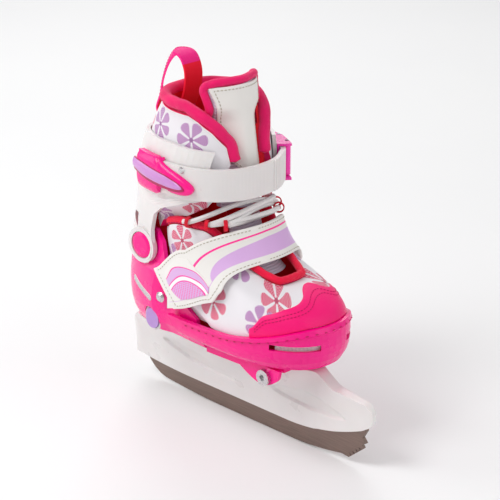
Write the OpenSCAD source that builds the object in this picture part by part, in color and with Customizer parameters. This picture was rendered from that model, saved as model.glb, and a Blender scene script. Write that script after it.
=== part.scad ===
// Adjustable ice skate for the left foot: a plastic shell with a soft boot on a steel runner.
// Millimetres. +X points to the toe, +Y to the outer side of the foot, +Z up.
// The origin lies under the middle of the blade, on its running edge.

/* [Blade] */
// Length of the steel blade
blade_l = 257; // [240:1:280]
// Thickness of the steel blade
blade_t = 3; // [2.5:0.1:4]
// Height of steel that shows below the holder at mid length
blade_h = 17.5; // [14:0.5:22]
// Number of toe pick teeth
pick_n = 5; // [3:1:6]
// Height of the boot deck above the ice
deck_z = 70; // [62:1:80]

/* [Boot] */
// Length of the boot shell, heel to toe, at its smallest size
boot_l = 225; // [200:1:270]
// Width of the boot shell at the ball of the foot
boot_w = 93; // [80:1:112]
// Height of the padded collar above the ice
boot_h = 266; // [240:1:300]
// Wall of the hard shells
shell_t = 3; // [2:0.25:4]
// Thickness of the padded liner
liner_t = 6; // [4:0.5:8]
// Thickness of the soft vamp
vamp_t = 3.6; // [2.5:0.1:4]
// Radius of the padded roll round the collar
roll_r = 4.6; // [3:0.1:5.5]
// Radius of the roll round the throat
bind_r = 3; // [2:0.1:3.5]

/* [Cuff] */
// Wall of the ankle cuff
cuff_t = 3; // [2:0.25:4]
// Diameter of the ankle pivot pin
pivot_d = 8; // [6:0.5:10]
// Diameter of the round cap on the pivot
cap_d = 22; // [18:0.5:26]
// Width of the ratchet strap
strap_w = 26; // [20:0.5:30]
// Thickness of the ratchet strap
strap_t = 3; // [2:0.1:4]
// Spacing of the ratchet teeth along the strap
tooth_p = 4; // [3:0.25:6]
// Height of the ratchet teeth
tooth_h = 1; // [0.6:0.1:1.4]

/* [Instep strap] */
// Width of the instep strap
instep_w = 27; // [22:1:33]
// Thickness of the instep strap
instep_t = 2.4; // [1.6:0.1:3]

/* [Size adjustment] */
// Step between two sizes
size_step = 6.6; // [5:0.1:8]
// Number of steps from the smallest to the largest size
size_n = 3; // [2:1:3]
// Inward travel of the size button
button_travel = 3.5; // [2.5:0.1:4.5]
// Diameter of the chassis bolt heads
bolt_d = 13; // [10:0.5:15]
// Diameter of the lace
lace_d = 4; // [3:0.25:4.5]

/* [Hidden] */
$fn = 48;
fit = 0.3;
slide_gap = 0.4;
kx = boot_l / 225;
ky = boot_w / 93;
kz = (boot_h - deck_z) / 196;
// Design heights are written for a deck at 70 and a collar at 266
function up(z) = z < 70 ? deck_z + z - 70 : deck_z + (z - 70) * kz;
function along(x) = x * kx;
function lerp(a, b, t) = a + (b - a) * t;
function clamp01(t) = min(1, max(0, t));
function ease(t) = let (c = clamp01(t)) c * c * (3 - 2 * c);
function flat(rows) = [for (r = rows) for (p = r) p];
function unit(v) = v / norm(v);

// Outline of the boot: height, heel, widest place, toe, half width, heel and toe roundness
LEVELS = [
    [64, -110, 8, 78, 33, 2.5, 2.3],
    [72, -116, 12, 86, 40, 2.6, 2.3],
    [85, -120, 15, 92, 45, 2.6, 2.3],
    [100, -121, 18, 94, 46.5, 2.6, 2.3],
    [112, -120.5, 17, 92, 46, 2.6, 2.3],
    [122, -119, 10, 85, 44.5, 2.6, 2.3],
    [130, -117.5, 2, 71, 43, 2.6, 2.3],
    [137, -116, -8, 50, 41.5, 2.6, 2.3],
    [145, -114, -18, 34, 40.5, 2.5, 2.3],
    [155, -111, -25, 23, 40, 2.5, 2.2],
    [170, -107.5, -32, 14, 40, 2.4, 2.2],
    [185, -105, -36, 10, 40.5, 2.4, 2.2],
    [200, -103, -38, 8, 41.5, 2.3, 2.2],
    [215, -100, -38, 8, 42, 2.3, 2.2],
    [230, -95, -37, 6, 41.5, 2.3, 2.2],
    [250, -84, -36, 3, 39.5, 2.3, 2.2],
    [272, -75, -34, 0, 37, 2.3, 2.3],
    [300, -70, -32, -3, 36, 2.3, 2.4]
];
function segment(z) = max([for (k = [0 : len(LEVELS) - 2]) LEVELS[k][0] <= z ? k : 0]);
function slope(i, c) = let (a = max(0, i - 1), b = min(len(LEVELS) - 1, i + 1))
    (LEVELS[b][c] - LEVELS[a][c]) / (LEVELS[b][0] - LEVELS[a][0]);
// Smooth value of column c at design height z
function level(z, c) = let (i = segment(z), h = LEVELS[i + 1][0] - LEVELS[i][0], s = (z - LEVELS[i][0]) / h)
    LEVELS[i][c] * (2 * s ^ 3 - 3 * s ^ 2 + 1) + LEVELS[i + 1][c] * (3 * s ^ 2 - 2 * s ^ 3)
    + slope(i, c) * h * (s ^ 3 - 2 * s ^ 2 + s) + slope(i + 1, c) * h * (s ^ 3 - s ^ 2);
function signed_pow(v, e) = v < 0 ? -pow(-v, e) : pow(v, e);
// Point on the boot at turn t (0 heel, 0.25 inner side, 0.5 toe), design height z, offset d outwards
function skin(t, z, d = 0) = let (c = cos(360 * t), s = sin(360 * t), n = c >= 0 ? level(z, 5) : level(z, 6),
    xm = along(level(z, 2)), xe = along(level(z, c >= 0 ? 1 : 3)) + (c >= 0 ? -d : d))
    [xm + (xe - xm) * pow(abs(c), 2 / n), -(level(z, 4) * ky + d) * signed_pow(s, 2 / n), up(z)];
// Turn at which the boot passes design length x
function turn_at(x, z) = let (xm = level(z, 2), back = x < xm, xe = level(z, back ? 1 : 3),
    q = clamp01((x - xm) / (xe - xm)), c = pow(q, level(z, back ? 5 : 6) / 2))
    acos(back ? c : -c) / 360;

// Closed solid between an outer and an inner grid of points
module between(outer, inner, flip = false) {
    m = len(outer) - 1;
    n = len(outer[0]) - 1;
    w = n + 1;
    k = (m + 1) * w;
    quads = concat(
        [for (i = [0 : m - 1]) for (j = [0 : n - 1]) [i * w + j, (i + 1) * w + j, (i + 1) * w + j + 1, i * w + j + 1]],
        [for (i = [0 : m - 1]) for (j = [0 : n - 1])
            [k + i * w + j, k + i * w + j + 1, k + (i + 1) * w + j + 1, k + (i + 1) * w + j]],
        [for (j = [0 : n - 1]) [j, j + 1, k + j + 1, k + j]],
        [for (j = [0 : n - 1]) [m * w + j, k + m * w + j, k + m * w + j + 1, m * w + j + 1]],
        [for (i = [0 : m - 1]) [i * w, k + i * w, k + (i + 1) * w, (i + 1) * w]],
        [for (i = [0 : m - 1]) [i * w + n, (i + 1) * w + n, k + (i + 1) * w + n, k + i * w + n]]);
    tris = [for (q = quads) for (f = [[q[0], q[1], q[2]], [q[0], q[2], q[3]]]) flip ? [f[2], f[1], f[0]] : f];
    polyhedron(points = concat(flat(outer), flat(inner)), faces = tris, convexity = 10);
}

// Closed solid through a row of rings that all have the same number of points
module rings(rows) {
    n = len(rows[0]);
    m = len(rows) - 1;
    sides = [for (i = [0 : m - 1]) for (j = [0 : n - 1]) let (a = i * n + j, b = i * n + (j + 1) % n)
        for (f = [[a, b, b + n], [a, b + n, a + n]]) f];
    ends = [[for (j = [n - 1 : -1 : 0]) j], [for (j = [0 : n - 1]) m * n + j]];
    polyhedron(points = flat(rows), faces = concat(sides, ends), convexity = 10);
}

// Round tube of radius r along a path
module tube(path, r, sides = 8) {
    last = len(path) - 1;
    rows = [for (i = [0 : last]) let (dir = unit(path[min(last, i + 1)] - path[max(0, i - 1)]),
        a = unit(cross(dir, abs(dir[2]) > 0.9 ? [1, 0, 0] : [0, 0, 1])), b = cross(dir, a))
        [for (k = [0 : sides - 1]) path[i] + r * (a * cos(360 * k / sides) - b * sin(360 * k / sides))]];
    rings(rows);
}

// Path moved off an edge by gap, away from the sheet; faces are the outward directions
function beside(edge, faces, gap) = let (last = len(edge) - 1)
    [for (i = [0 : last]) edge[i] + gap * unit(cross(faces[i], edge[min(last, i + 1)] - edge[max(0, i - 1)]))];
function outward(t, z) = skin(t, z, 1) - skin(t, z, 0);

// Ankle axis
pivot_x = along(-81);
pivot_z = up(142);
pivot_y = 36.5 * ky;
split_r = 46 * min(kx, kz);
split_gap = 2;
lean_front = 34;
lean_room = 7.5;

// ---------------------------------------------------------------- blade and holder
blade_x0 = -blade_l / 2 + 2;
blade_x1 = blade_l / 2 + 2;
heel_r = 34;
toe_rise = 7;
pick_x0 = blade_x1 - 16.5;
pick_z = 5;
pick_p = 4.3;
pick_tilt = 40;
// Lower edge of the steel, heel to toe
function edge(x) = x < blade_x0 + heel_r ? 3 + heel_r - sqrt(max(0, heel_r ^ 2 - (blade_x0 + heel_r - x) ^ 2)) * 1
    : x < -20 ? 3 * ((-20 - x) / (-20 - blade_x0 - heel_r)) ^ 2
    : x > 50 ? toe_rise * ((x - 50) / (pick_x0 - 52)) ^ 2 : 0;
// Lower edge of the holder, where the steel comes out
function lip(x) = blade_h + 3.5 * clamp01((-60 - x) / (-60 - blade_x0)) ^ 2 + 18 * clamp01((x - 50) / (blade_x1 - 48)) ^ 2;
holder_x0 = blade_x0 - 3;
holder_x1 = blade_x1 + 8;

module blade_shape() {
    lower = [for (x = [blade_x0 + 2 : (pick_x0 - 10 - blade_x0) / 36 : pick_x0 - 7]) [x, min(27, edge(x))]];
    // Teeth stand on a line that climbs towards the toe
    dir = [cos(pick_tilt), sin(pick_tilt)];
    teeth = [for (k = [0 : pick_n - 1]) for (q = [[0, 0], [0.6, 0], [0.68, 0.8]])
        [pick_x0, pick_z] + pick_p * ((k + q[0]) * dir + q[1] * [-dir[1], dir[0]])];
    nose = [[blade_x1 + 1, pick_z + 18], [blade_x1 - 2.5, 27], [blade_x1 + 1.5, 34]];
    upper = [for (k = [0 : 21]) let (x = lerp(blade_x1 - 1, blade_x0 + 10, k / 21)) [x, lip(x) + 11]];
    polygon(concat(lower, teeth, nose, upper, [[blade_x0 + 0.5, lip(blade_x0) + 8.5]]));
}

module blade() {
    color("gray")
    rotate([90, 0, 0])
    linear_extrude(height = blade_t, center = true)
    difference() {
        blade_shape();
        for (x = [-80, 0, 75]) translate([x, lip(x) + 5.5]) circle(d = 6);
    }
}

// Half width of the holder at its deck
function deck_half(x) = let (h = clamp01((-84 - x) / (-84 - holder_x0)))
    x < -84 ? (31 - 23 * h ^ 2) * ky : lerp(31, 5.5, ease((x - 40) / 46)) * ky - 2.5 * clamp01((x - 100) / 38);
function deck_top(x) = x < -104 ? deck_z - 18 * ease((-104 - x) / 26)
    : deck_z - 10.6 * ease((x - 78) / 24) - 3 * ease((x - 98) / 40);
// Cross-section of the holder: a narrow foot that flares up to the deck
function holder_ring(x) = let (z0 = min(lip(x), deck_top(x) - 6), z1 = deck_top(x), w0 = min(6.5, deck_half(x)),
    w1 = deck_half(x), h = [0, 0.12, 0.3, 0.5, 0.68, 0.84, 0.94, 1])
    concat([for (s = h) [x, -lerp(w0, w1, s ^ 1.8), lerp(z0, z1, s)]],
        [for (k = [len(h) - 1 : -1 : 0]) [x, lerp(w0, w1, h[k] ^ 1.8), lerp(z0, z1, h[k])]]);

module holder_recess(x0, x1, z0, z1, r0, r1) {
    for (side = [-1, 1])
        hull() {
            translate([x0, side * 24.5 * ky, z0]) sphere(r = r0, $fn = 24);
            translate([x1, side * 18 * ky, z1]) sphere(r = r1, $fn = 24);
        }
}

module blade_holder() {
    stations = [for (k = [0 : 30]) lerp(holder_x0, holder_x1, 0.5 - 0.5 * cos(6 * k))];
    color("white")
    resize([0, 0, 0])
    difference() {
        rings([for (x = stations) holder_ring(x)]);
        rotate([90, 0, 0]) linear_extrude(height = blade_t, center = true) blade_shape();
        for (x = SCREW_X) for (side = [-1, 1])
            translate([x, side * 14, deck_z - 13]) cylinder(d = 4.4, h = 16, $fn = 24);
        for (side = [-1, 1])
            translate([bolt_x, side * 20, bolt_z]) rotate([side * -90, 0, 0]) cylinder(d = 6.4, h = 30, $fn = 24);
        holder_recess(-78, -12, deck_z - 16, 32, 8, 4);
        holder_recess(34, 104, deck_z - 19, 44, 8, 4.5);
    }
}

// ---------------------------------------------------------------- hard shells
SCREW_X = [-92, -30, 18, 38];
bolt_x = along(54);
bolt_z = deck_z - 4;
skirt_y = 35 * ky;
skirt_t = 3.2;
floor_t = 3.5;
plate_x1 = along(66);
button_x = along(-72);
button_y = 32.5 * ky;
button_z = up(79.2);
button_in = 1;
rack_half = 9.4;
button_l = 17.6;
button_h = 14.6;
rack_z = deck_z + floor_t + fit;
rack_t = 2.6;
module at_button() {
    translate([button_x, -button_y, button_z]) rotate([90, 0, 0]) rotate([0, 0, 90]) children();
}

// How far the heel shell stands off the boot line: full at the heel, tucked in under the toe shell and cuff
function heel_offset(x, z) = min(lerp(3, -2, ease((x + 66) / 16)), lerp(3, -0.6, ease((z - 124) / 8)));
function heel_front(z) = lookup(z, [[66, -12], [96, -14], [108, -34], [120, -46], [134, -57], [148, -59], [158, -69]]);
function heel_crown(f) = 148 + 10 * ease((abs(f) - 0.3) / 0.35);

// Plan of the flat sole, inset by d
function sole_plan(x1) = [for (k = [0 : 59]) let (x = skin(k / 60, 71.5)[0] / kx,
    p = skin(k / 60, 71.5, lerp(1.2, -3.6, ease((x + 66) / 16)))) [min(p[0], x1), p[1]]];

boss_d = 26;
module pivot_boss(y0, y1, d) {
    for (side = [-1, 1])
        translate([pivot_x, side * y0, pivot_z]) rotate([side * -90, 0, 0]) cylinder(d = d, h = y1 - y0);
}

module heel_wall() {
    cols = [for (k = [0 : 36]) k / 18 - 1];
    rows = [for (k = [0 : 10]) k / 10];
    function grid(wall) = [for (r = rows) [for (f = cols) let (z = lerp(70.2, heel_crown(f), r),
        t = f * turn_at(heel_front(z), z), x = skin(t, z)[0] / kx)
        skin(t, z, heel_offset(x, z) - wall)]];
    between(grid(0), grid(shell_t));
}

// Side band under the toe: straight, with a rounded tab that hangs round the bolt
module skirt_side() {
    low = [for (k = [0 : 24]) let (s = k / 24) [lerp(along(26), along(68), s), deck_z - 2.5 - 9 * sin(180 * s ^ 1.25) ^ 0.8]];
    polygon(concat([[along(-12), deck_z + 5], [along(-12), deck_z - 3.5]], low, [[along(70), deck_z + 5]]));
}

module heel_shell() {
    color("deeppink")
    difference() {
        union() {
            heel_wall();
            translate([0, 0, deck_z]) linear_extrude(height = floor_t) polygon(sole_plan(plate_x1));
            for (side = [-1, 1]) {
                translate([0, side * (skirt_y - skirt_t / 2), 0]) rotate([90, 0, 0])
                    linear_extrude(height = skirt_t, center = true) skirt_side();
                translate([along(-98), side * 22 * ky - 1.5, deck_z + floor_t - 0.5])
                    cube([along(13), 3, up(79.2) - deck_z - floor_t + 0.5]);
            }
            pivot_boss(pivot_y - 4.5, pivot_y + 0.8, boss_d);
        }
        for (side = [-1, 1])
            translate([bolt_x, side * 20, bolt_z]) rotate([side * -90, 0, 0]) cylinder(d = 6.6, h = 30);
        for (x = SCREW_X) for (side = [-1, 1])
            translate([x, side * 14, deck_z - 1]) cylinder(d = 4.6, h = 8);
        pivot_boss(10, 60, pivot_d + 2 * bush_wall);
        pivot_boss(10, pivot_y - 4.5, pivot_d + 6);
        at_button() translate([0, 0, -5]) linear_extrude(height = 30)
            slot_shape(button_l + 4.2, button_h + 4.2);
    }
}

function toe_rim(f) = 94 + 19 * ease((1 - abs(f)) * 1.15);
function toe_rear(z) = lookup(z, [[76, -34], [100, -45], [110, -46]]);

// Wall round the toe from height low up to the rim; steps are [share of height, outer, inner offset]
module toe_wall(low, steps, n = 36) {
    cols = [for (k = [0 : n]) 2 * k / n - 1];
    function grid(c) = [for (r = steps) [for (f = cols) let (z = lerp(low, toe_rim(f), r[0]),
        t0 = turn_at(toe_rear(z), z), t = 0.5 + f * (0.5 - t0)) skin(t, z, r[c])]];
    between(grid(1), grid(2));
}

// Air vents: a long slot on each side of the toe
module vent_cuts() {
    for (a = [-1, 1])
        translate([along(81), a * 29 * ky, up(97)]) rotate([0, 0, a * -52]) cube([40, 26, 5], center = true);
}

module toe_shell() {
    inner = 3 - shell_t;
    // The wall rolls in at its lower edge and ends in a proud rim
    steps = [[0, 0.5, inner - 1], [0.06, 2, inner], [0.2, 3, inner], [0.36, 3.2, inner], [0.52, 3.2, inner],
        [0.68, 3, inner], [0.84, 3, inner], [0.88, 4.4, inner], [1, 4.4, inner]];
    color("deeppink")
    difference() {
        union() {
            toe_wall(77, steps);
            translate([0, 0, toe_floor_z + 0.3]) linear_extrude(height = 2)
                polygon([for (k = [0 : 59]) let (x = skin(k / 60, 78.5)[0] / kx, p = skin(k / 60, 78.5, lerp(-6, 1.2, ease((x + 8) / 7))))
                    [max(p[0], along(-34)), p[1]]]);
        }
        vent_cuts();
    }
}
toe_floor_z = deck_z + 7;

module slot_shape(l, h) {
    hull()
        for (s = [-1, 1]) translate([s * (l - h) / 2, 0]) circle(d = h);
}

// ---------------------------------------------------------------- soft boot on the toe shell
throat_z = 136;
// Upper edge of the vamp against turn: low at the toe, high beside the laces
function vamp_top(t) = throat_z + 35 * ease((abs(t - 0.5) - 0.04) / 0.15) - 12 * ease((abs(t - 0.5) - 0.25) / 0.08);
function vamp_low(t) = lerp(95, 104, ease((0.22 - abs(t - 0.5)) / 0.05));
// The vamp lies inside the heel shell and comes out flush in front of it
function vamp_offset(x, z) = lerp(-6.3, -0.8, ease((x - heel_front(z) - 8) / 12));
vamp_rear = 0.192;

module vamp() {
    cols = [for (k = [0 : 44]) lerp(vamp_rear, 1 - vamp_rear, k / 44)];
    rows = [for (k = [0 : 7]) k / 7];
    function grid(wall, drop) = [for (r = rows) [for (t = cols) let (z = lerp(vamp_low(t), vamp_top(t), r),
        x = skin(t, z)[0] / kx) skin(t, z, vamp_offset(x, z) - wall) - [0, 0, drop]]];
    color("white") between(grid(0, 0), grid(vamp_t, 1.6));
}

// Leather cap over the front of the vamp; its edge sweeps back from the throat
function cap_top(t) = lookup(abs(t - 0.52), [[0, 134.5], [0.02, 134], [0.038, 131], [0.071, 128], [0.127, 125],
    [0.189, 119], [0.219, 106]]);
module toe_cap() {
    cols = [for (k = [0 : 40]) lerp(0.302, 0.738, k / 40)];
    rows = [for (k = [0 : 5]) k / 5];
    function grid(d) = [for (r = rows) [for (t = cols)
        skin(t, lerp(toe_rim((t - 0.5) / 0.3) + 0.6, cap_top(t), r), d)]];
    color("hotpink") between(grid(1.3), grid(-0.1));
}

module throat_binding() {
    cols = [for (k = [0 : 40]) lerp(vamp_rear + 0.004, 1 - vamp_rear - 0.004, k / 40)];
    edge = [for (t = cols) let (z = vamp_top(t), x = skin(t, z)[0] / kx)
        skin(t, z, vamp_offset(x, z) - vamp_t / 2) - [0, 0, 0.8]];
    color("crimson") tube(beside(edge, [for (t = cols) outward(t, vamp_top(t))], bind_r + 0.9), bind_r);
}

// Places where the lace turns, top row first: turn and height
LACE_ROWS = [[0.285, 178], [0.338, 178], [0.39, 178.5]];
lace_out = 4.8;
// Point of the lace: side s from -1 to 1 across a run between two rows, d outwards at mid run
function lace_at(ra, rb, from, s, d) = let (a = LACE_ROWS[ra], b = LACE_ROWS[rb], k = (1 + s) / 2,
    ta = from < 0 ? a[0] : 1 - a[0], tb = from < 0 ? 1 - b[0] : b[0], arch = cos(90 * s))
    skin(lerp(ta, tb, k), lerp(a[1], b[1], k) + 7 * arch, lerp(lace_out, d, arch));
// Run from row ra on one side to row rb on the other
function lace_run(ra, rb, from, d) = [for (k = [0 : 7]) lace_at(ra, rb, from, k / 4 - 1, d)];
lace_low = -4.4;

module lace_loops() {
    color("crimson")
    for (row = [0 : 2]) for (side = [-1, 1]) {
        t = side < 0 ? LACE_ROWS[row][0] : 1 - LACE_ROWS[row][0];
        p = skin(t, LACE_ROWS[row][1], lace_out);
        q = outward(t, LACE_ROWS[row][1]);
        translate(p) rotate([0, 0, atan2(q[1], q[0])]) rotate([90, 0, 0]) rotate_extrude($fn = 24)
            translate([lace_d / 2 + 2.1, 0]) square([0.9, 3], center = true);
    }
}

module lace() {
    start = skin(0.268, 177.5, lace_out);
    finish = skin(0.732, 177.5, lace_out);
    path = concat([start], lace_run(0, 1, -1, lace_low), lace_run(1, 2, 1, lace_low),
        lace_run(2, 2, -1, lace_low), lace_run(2, 1, 1, lace_low + lace_d + fit),
        lace_run(1, 0, -1, lace_low + lace_d + fit), [finish]);
    color("whitesmoke") tube(path, lace_d / 2, 6);
}

module size_rack() {
    color("white")
    difference() {
        translate([along(-106), -rack_half, rack_z]) cube([along(74), 2 * rack_half, rack_t]);
        for (k = [0 : size_n])
            translate([button_x - 2.4 - k * size_step, rack_half - 4, rack_z - 1]) cube([4.8, 6, rack_t + 2]);
    }
}

module vent_mesh() {
    function grid(d) = [for (z = [91.5, 97, 102.5]) [for (k = [0 : 24]) skin(lerp(0.355, 0.645, k / 24), z, d)]];
    color("white") between(grid(-0.4), grid(-1.4));
}

// ---------------------------------------------------------------- instep strap
strap_crown = 163;
strap_dip = 8.6;
// Height on the boot at turn t for v mm across the strap: it crosses the instep and falls to both sides
function strap_height(t, v) = strap_crown - 25 * (abs(t - 0.5) / 0.255) ^ 2.5 + 0.95 * v
    - strap_dip * ease((0.262 - t) / 0.06);
strap_near = 0.196;
strap_fold = 0.47;
strap_far = 0.80;
function strap_lift(t) = lerp(4.7, 5, ease((abs(t - 0.5) - 0.14) / 0.14));
// The near end is cut at a slant: skew moves each row's first column
function strap_grid(t0, t1, n, d, skew = 0) = [for (v = [-1, -0.5, 0, 0.5, 1])
    [for (k = [0 : n]) let (t = lerp(t0 - skew * v, t1, k / n))
        skin(t, strap_height(t, v * instep_w / 2), strap_lift(t) + d)]];

module instep_strap() {
    color("white") between(strap_grid(strap_fold, strap_far, 18, instep_t), strap_grid(strap_fold, strap_far, 18, 0));
}

module strap_flap() {
    color("white") between(strap_grid(strap_near, strap_fold - 0.012, 20, instep_t, 0.0135),
        strap_grid(strap_near, strap_fold - 0.012, 20, 0, 0.0135));
}

module strap_badge() {
    function grid(d) = [for (v = [-0.68, 0, 0.68]) [for (k = [0 : 8]) let (t = lerp(strap_near + 0.012, 0.262, k / 8))
        skin(t, strap_height(t, v * instep_w / 2), strap_lift(t) + d)]];
    color("plum") between(grid(instep_t + 0.9), grid(instep_t + 0.05));
}

// Hooked tab under the end of the flap, riveted to the heel shell
module strap_tab() {
    function grid(d) = [for (v = [-1.3, -0.6, 0, 0.5]) [for (k = [0 : 8]) let (t = lerp(0.196, 0.238, k / 8))
        skin(t, strap_height(t, v * instep_w / 2), d)]];
    color("white") between(grid(4.7), grid(3.3));
}

module tab_rivets() {
    color("silver")
    for (side = [-1, 1]) {
        p = skin(0.5 + side * 0.318, 106, 0);
        translate([p[0], p[1], p[2]]) rotate([side * -90, 0, 0]) {
            translate([0, 0, 1.5]) cylinder(d = 4, h = 3.4, $fn = 24);
            translate([0, 0, 4.9]) cylinder(d1 = 9, d2 = 6, h = 1.6, $fn = 32);
        }
    }
}

module strap_rivets() {
    p = skin(strap_far - 0.03, strap_height(strap_far - 0.03, 0), strap_lift(0.77) + instep_t + 0.9);
    color("silver") translate(p) rotate([-90, 0, 0]) {
        translate([0, 0, 0.1]) cylinder(d1 = 10, d2 = 7, h = 1.8, $fn = 32);
    }
}

// ---------------------------------------------------------------- liner and tongue
lower_front = -40;
// Top of the lower liner: an arc round the ankle axis
function split_top(x) = let (d = along(x) - pivot_x) pivot_z + sqrt(max(split_r ^ 2 - d ^ 2, 100)) * 1;
function liner_offset(x) = lerp(-5.4, -12, ease((x + 84) / 12));

module liner_heel() {
    cols = [for (k = [0 : 32]) k / 16 - 1];
    rows = [for (k = [0 : 8]) k / 8];
    function cell(f, r, wall) = let (t = f * turn_at(lower_front, 130), x = skin(t, 150)[0] / kx,
        z1 = 70 + (split_top(x) - deck_z) / kz, z = lerp(79.6, z1, r)) skin(t, z, liner_offset(x) - wall);
    function grid(wall) = [for (r = rows) [for (f = cols) cell(f, r, wall)]];
    color("crimson") difference() {
        between(grid(0), grid(liner_t - 1));
        translate([button_x - 13, -button_y - 7, deck_z]) cube([26, 10, button_z + 13 - deck_z]);
    }
}

// The insole keeps inside the liner at the heel and inside the vamp in front
function sole_inset(x) = x < -58 ? lerp(12, 18.5, ease((x + 88) / 12)) : lerp(18.5, 11, ease((x + 24) / 12));

module insole() {
    color("crimson")
    translate([0, 0, up(79.6)]) linear_extrude(height = 3)
    polygon([for (k = [0 : 59]) let (x = skin(k / 60, 82)[0] / kx, p = skin(k / 60, 82, -sole_inset(x))) [p[0], p[1]]]);
}

// Lower tongue, under the laces
module tongue_base() {
    cols = [for (k = [0 : 14]) lerp(0.41, 0.59, k / 14)];
    rows = [for (k = [0 : 8]) k / 8];
    function grid(d, drop) = [for (r = rows) [for (t = cols) skin(t, lerp(141, 181, r), d) - [0, 0, drop]]];
    color("lavender") between(grid(-9.5, 4), grid(-14.5, 7));
}

// Front edge and top edge of the collar
function collar_front(z) = lookup(z, [[165, -30], [185, -14], [200, -2], [226, 2], [240, -1], [252, -9], [260, -19], [266, -34]]);
function collar_top(f) = 266 - 3 * ease(abs(f));
function collar_low(x) = let (d = along(x) - pivot_x, arc = sqrt(max((split_r + split_gap) ^ 2 - d ^ 2, 100)),
    wedge = d * tan(lean_front + lean_room)) 70 + (pivot_z + (d > 0 ? max(arc, wedge) : arc) - deck_z) / kz;

module liner_collar() {
    cols = [for (k = [0 : 36]) k / 18 - 1];
    rows = [for (k = [0 : 9]) k / 9];
    function cell(f, r, wall) = let (ta = f * turn_at(collar_front(190), 190), xa = skin(ta, 190)[0] / kx,
        z = lerp(collar_low(xa), collar_top(f), r), t = f * turn_at(collar_front(z), z)) skin(t, z, 1 - wall);
    function grid(wall) = [for (r = rows) [for (f = cols) cell(f, r, wall)]];
    color("mistyrose") between(grid(0), grid(liner_t));
}

module collar_binding() {
    // Round the top edge, then down both front edges to just above the strap
    points = concat([for (k = [0 : 8]) [lerp(228, 262, k / 8), -1]], [for (k = [1 : 23]) [265, -cos(7.5 * k)]],
        [for (k = [8 : -1 : 0]) [lerp(228, 262, k / 8), 1]]);
    turns = [for (p = points) abs(p[1]) == 1 ? p[1] * turn_at(collar_front(p[0]), p[0])
        : signed_pow(p[1], 1) * turn_at(collar_front(265), 265)];
    heights = [for (p = points) p[0]];
    edge = [for (i = [0 : len(points) - 1]) skin(turns[i], heights[i], 1 - liner_t / 2)];
    faces = [for (i = [0 : len(points) - 1]) outward(turns[i], heights[i])];
    color("hotpink") tube(beside(edge, faces, roll_r + 1.6), roll_r);
}

function tongue_half(z) = lookup(z, [[197, 19], [230, 22], [262, 23], [274, 24.5], [284, 27.5], [289, 25]]);
tongue_wall = 7;
// Point on the tongue: u across, z height, d depth behind the boot line; the edges tuck in behind the collar roll
function tongue_at(u, z, d) = let (tuck = 6 * ease((abs(u) - 3) / 16) * (1 - ease((z - 256) / 14)))
    [along(level(z, 3)) - d - 23 * (u / 34) ^ 2 - tuck, u * ky, up(z)];

module tongue_block(z0, z1, inset, d0, d1, n = 10, m = 8) {
    function grid(d) = [for (r = [0 : m]) let (z = lerp(z0, z1, r / m)) [for (k = [0 : n])
        tongue_at(lerp(-1, 1, k / n) * (tongue_half(z) - inset), z, d)]];
    between(grid(d0), grid(d1));
}

module tongue() {
    color("lavender") tongue_block(199, 284, 1, 2.7, 2.7 + tongue_wall, 14);
}

module tongue_patch() {
    color("whitesmoke") tongue_block(228, 281.5, 4.5, 0.8, 2, 14, 6);
}

module tongue_binding() {
    sides = [for (k = [0 : 6]) [-1, lerp(244, 268, k / 6)]];
    arch = [for (a = [0 : 10 : 180]) [-signed_pow(cos(a), 0.4), 268 + 20 * pow(sin(a), 0.4)]];
    low = concat(sides, [for (i = [1 : 17]) arch[i]], [for (k = [6 : -1 : 0]) [1, sides[k][1]]]);
    color("hotpink") tube([for (p = low) tongue_at(p[0] * (tongue_half(min(p[1], 284)) + 2.6), p[1] + 2, 6)], 3);
}

module pull_loop() {
    w = 9;
    path = [[-92, 242.5], [-98, 250], [-99, 262], [-95, 276], [-89, 288], [-82, 296], [-75, 298.5], [-67, 296],
        [-62, 287], [-61.5, 276], [-65, 263], [-70.5, 252]];
    function strand(d) = [for (v = [-w, w]) [for (i = [0 : len(path) - 1]) let (p = path[i],
        a = path[max(0, i - 1)], b = path[min(len(path) - 1, i + 1)], n = unit([a[1] - b[1], b[0] - a[0]]))
        [along(p[0]) + d * n[0], v, up(p[1]) + d * n[1]]]];
    color("deeppink") between(strand(0.9), strand(-0.9));
}

// ---------------------------------------------------------------- ankle cuff
cuff_in = 2.4;
function cuff_front(z) = lookup(z, [[126, -76], [130, -68], [139, -65], [160, -66], [174, -61], [187, -46],
    [193, -20], [198, -12], [238, -6]]);
function cuff_low(f) = let (a = abs(f)) a < 0.62 ? lerp(141, 136, a / 0.62) : lerp(136, 127, ease((a - 0.62) / 0.2));
function cuff_high(f) = 237 + 3 * sin(180 * abs(f));

module cuff_wall() {
    cols = [for (k = [0 : 40]) k / 20 - 1];
    rows = [for (k = [0 : 14]) k / 14];
    function grid(wall) = [for (r = rows) [for (f = cols) let (z = lerp(cuff_low(f), cuff_high(f), r),
        t = f * turn_at(cuff_front(z), z)) skin(t, z, cuff_in + wall)]];
    between(grid(cuff_t), grid(0));
}

module cuff_window() {
    for (side = [-1, 1])
        translate([along(-108), side * 10, 0]) rotate([90, 0, 90 + side * 58]) linear_extrude(height = 60, center = true)
            polygon([[-9, up(163)], [7, up(168)], [3, up(150)]]);
}

module cuff() {
    color("white")
    difference() {
        union() {
            difference() {
                cuff_wall();
                pivot_boss(10, pivot_y + 1.6, boss_d + 1);
            }
            pivot_boss(pivot_y + 1.6, pivot_y + 6, 30);
        }
        pivot_boss(pivot_y - 10, pivot_y + 12, pivot_d + 0.2);
        pivot_boss(pivot_y + 4.4, pivot_y + 12, cap_d + 1);
        cuff_window();
    }
}

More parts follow.
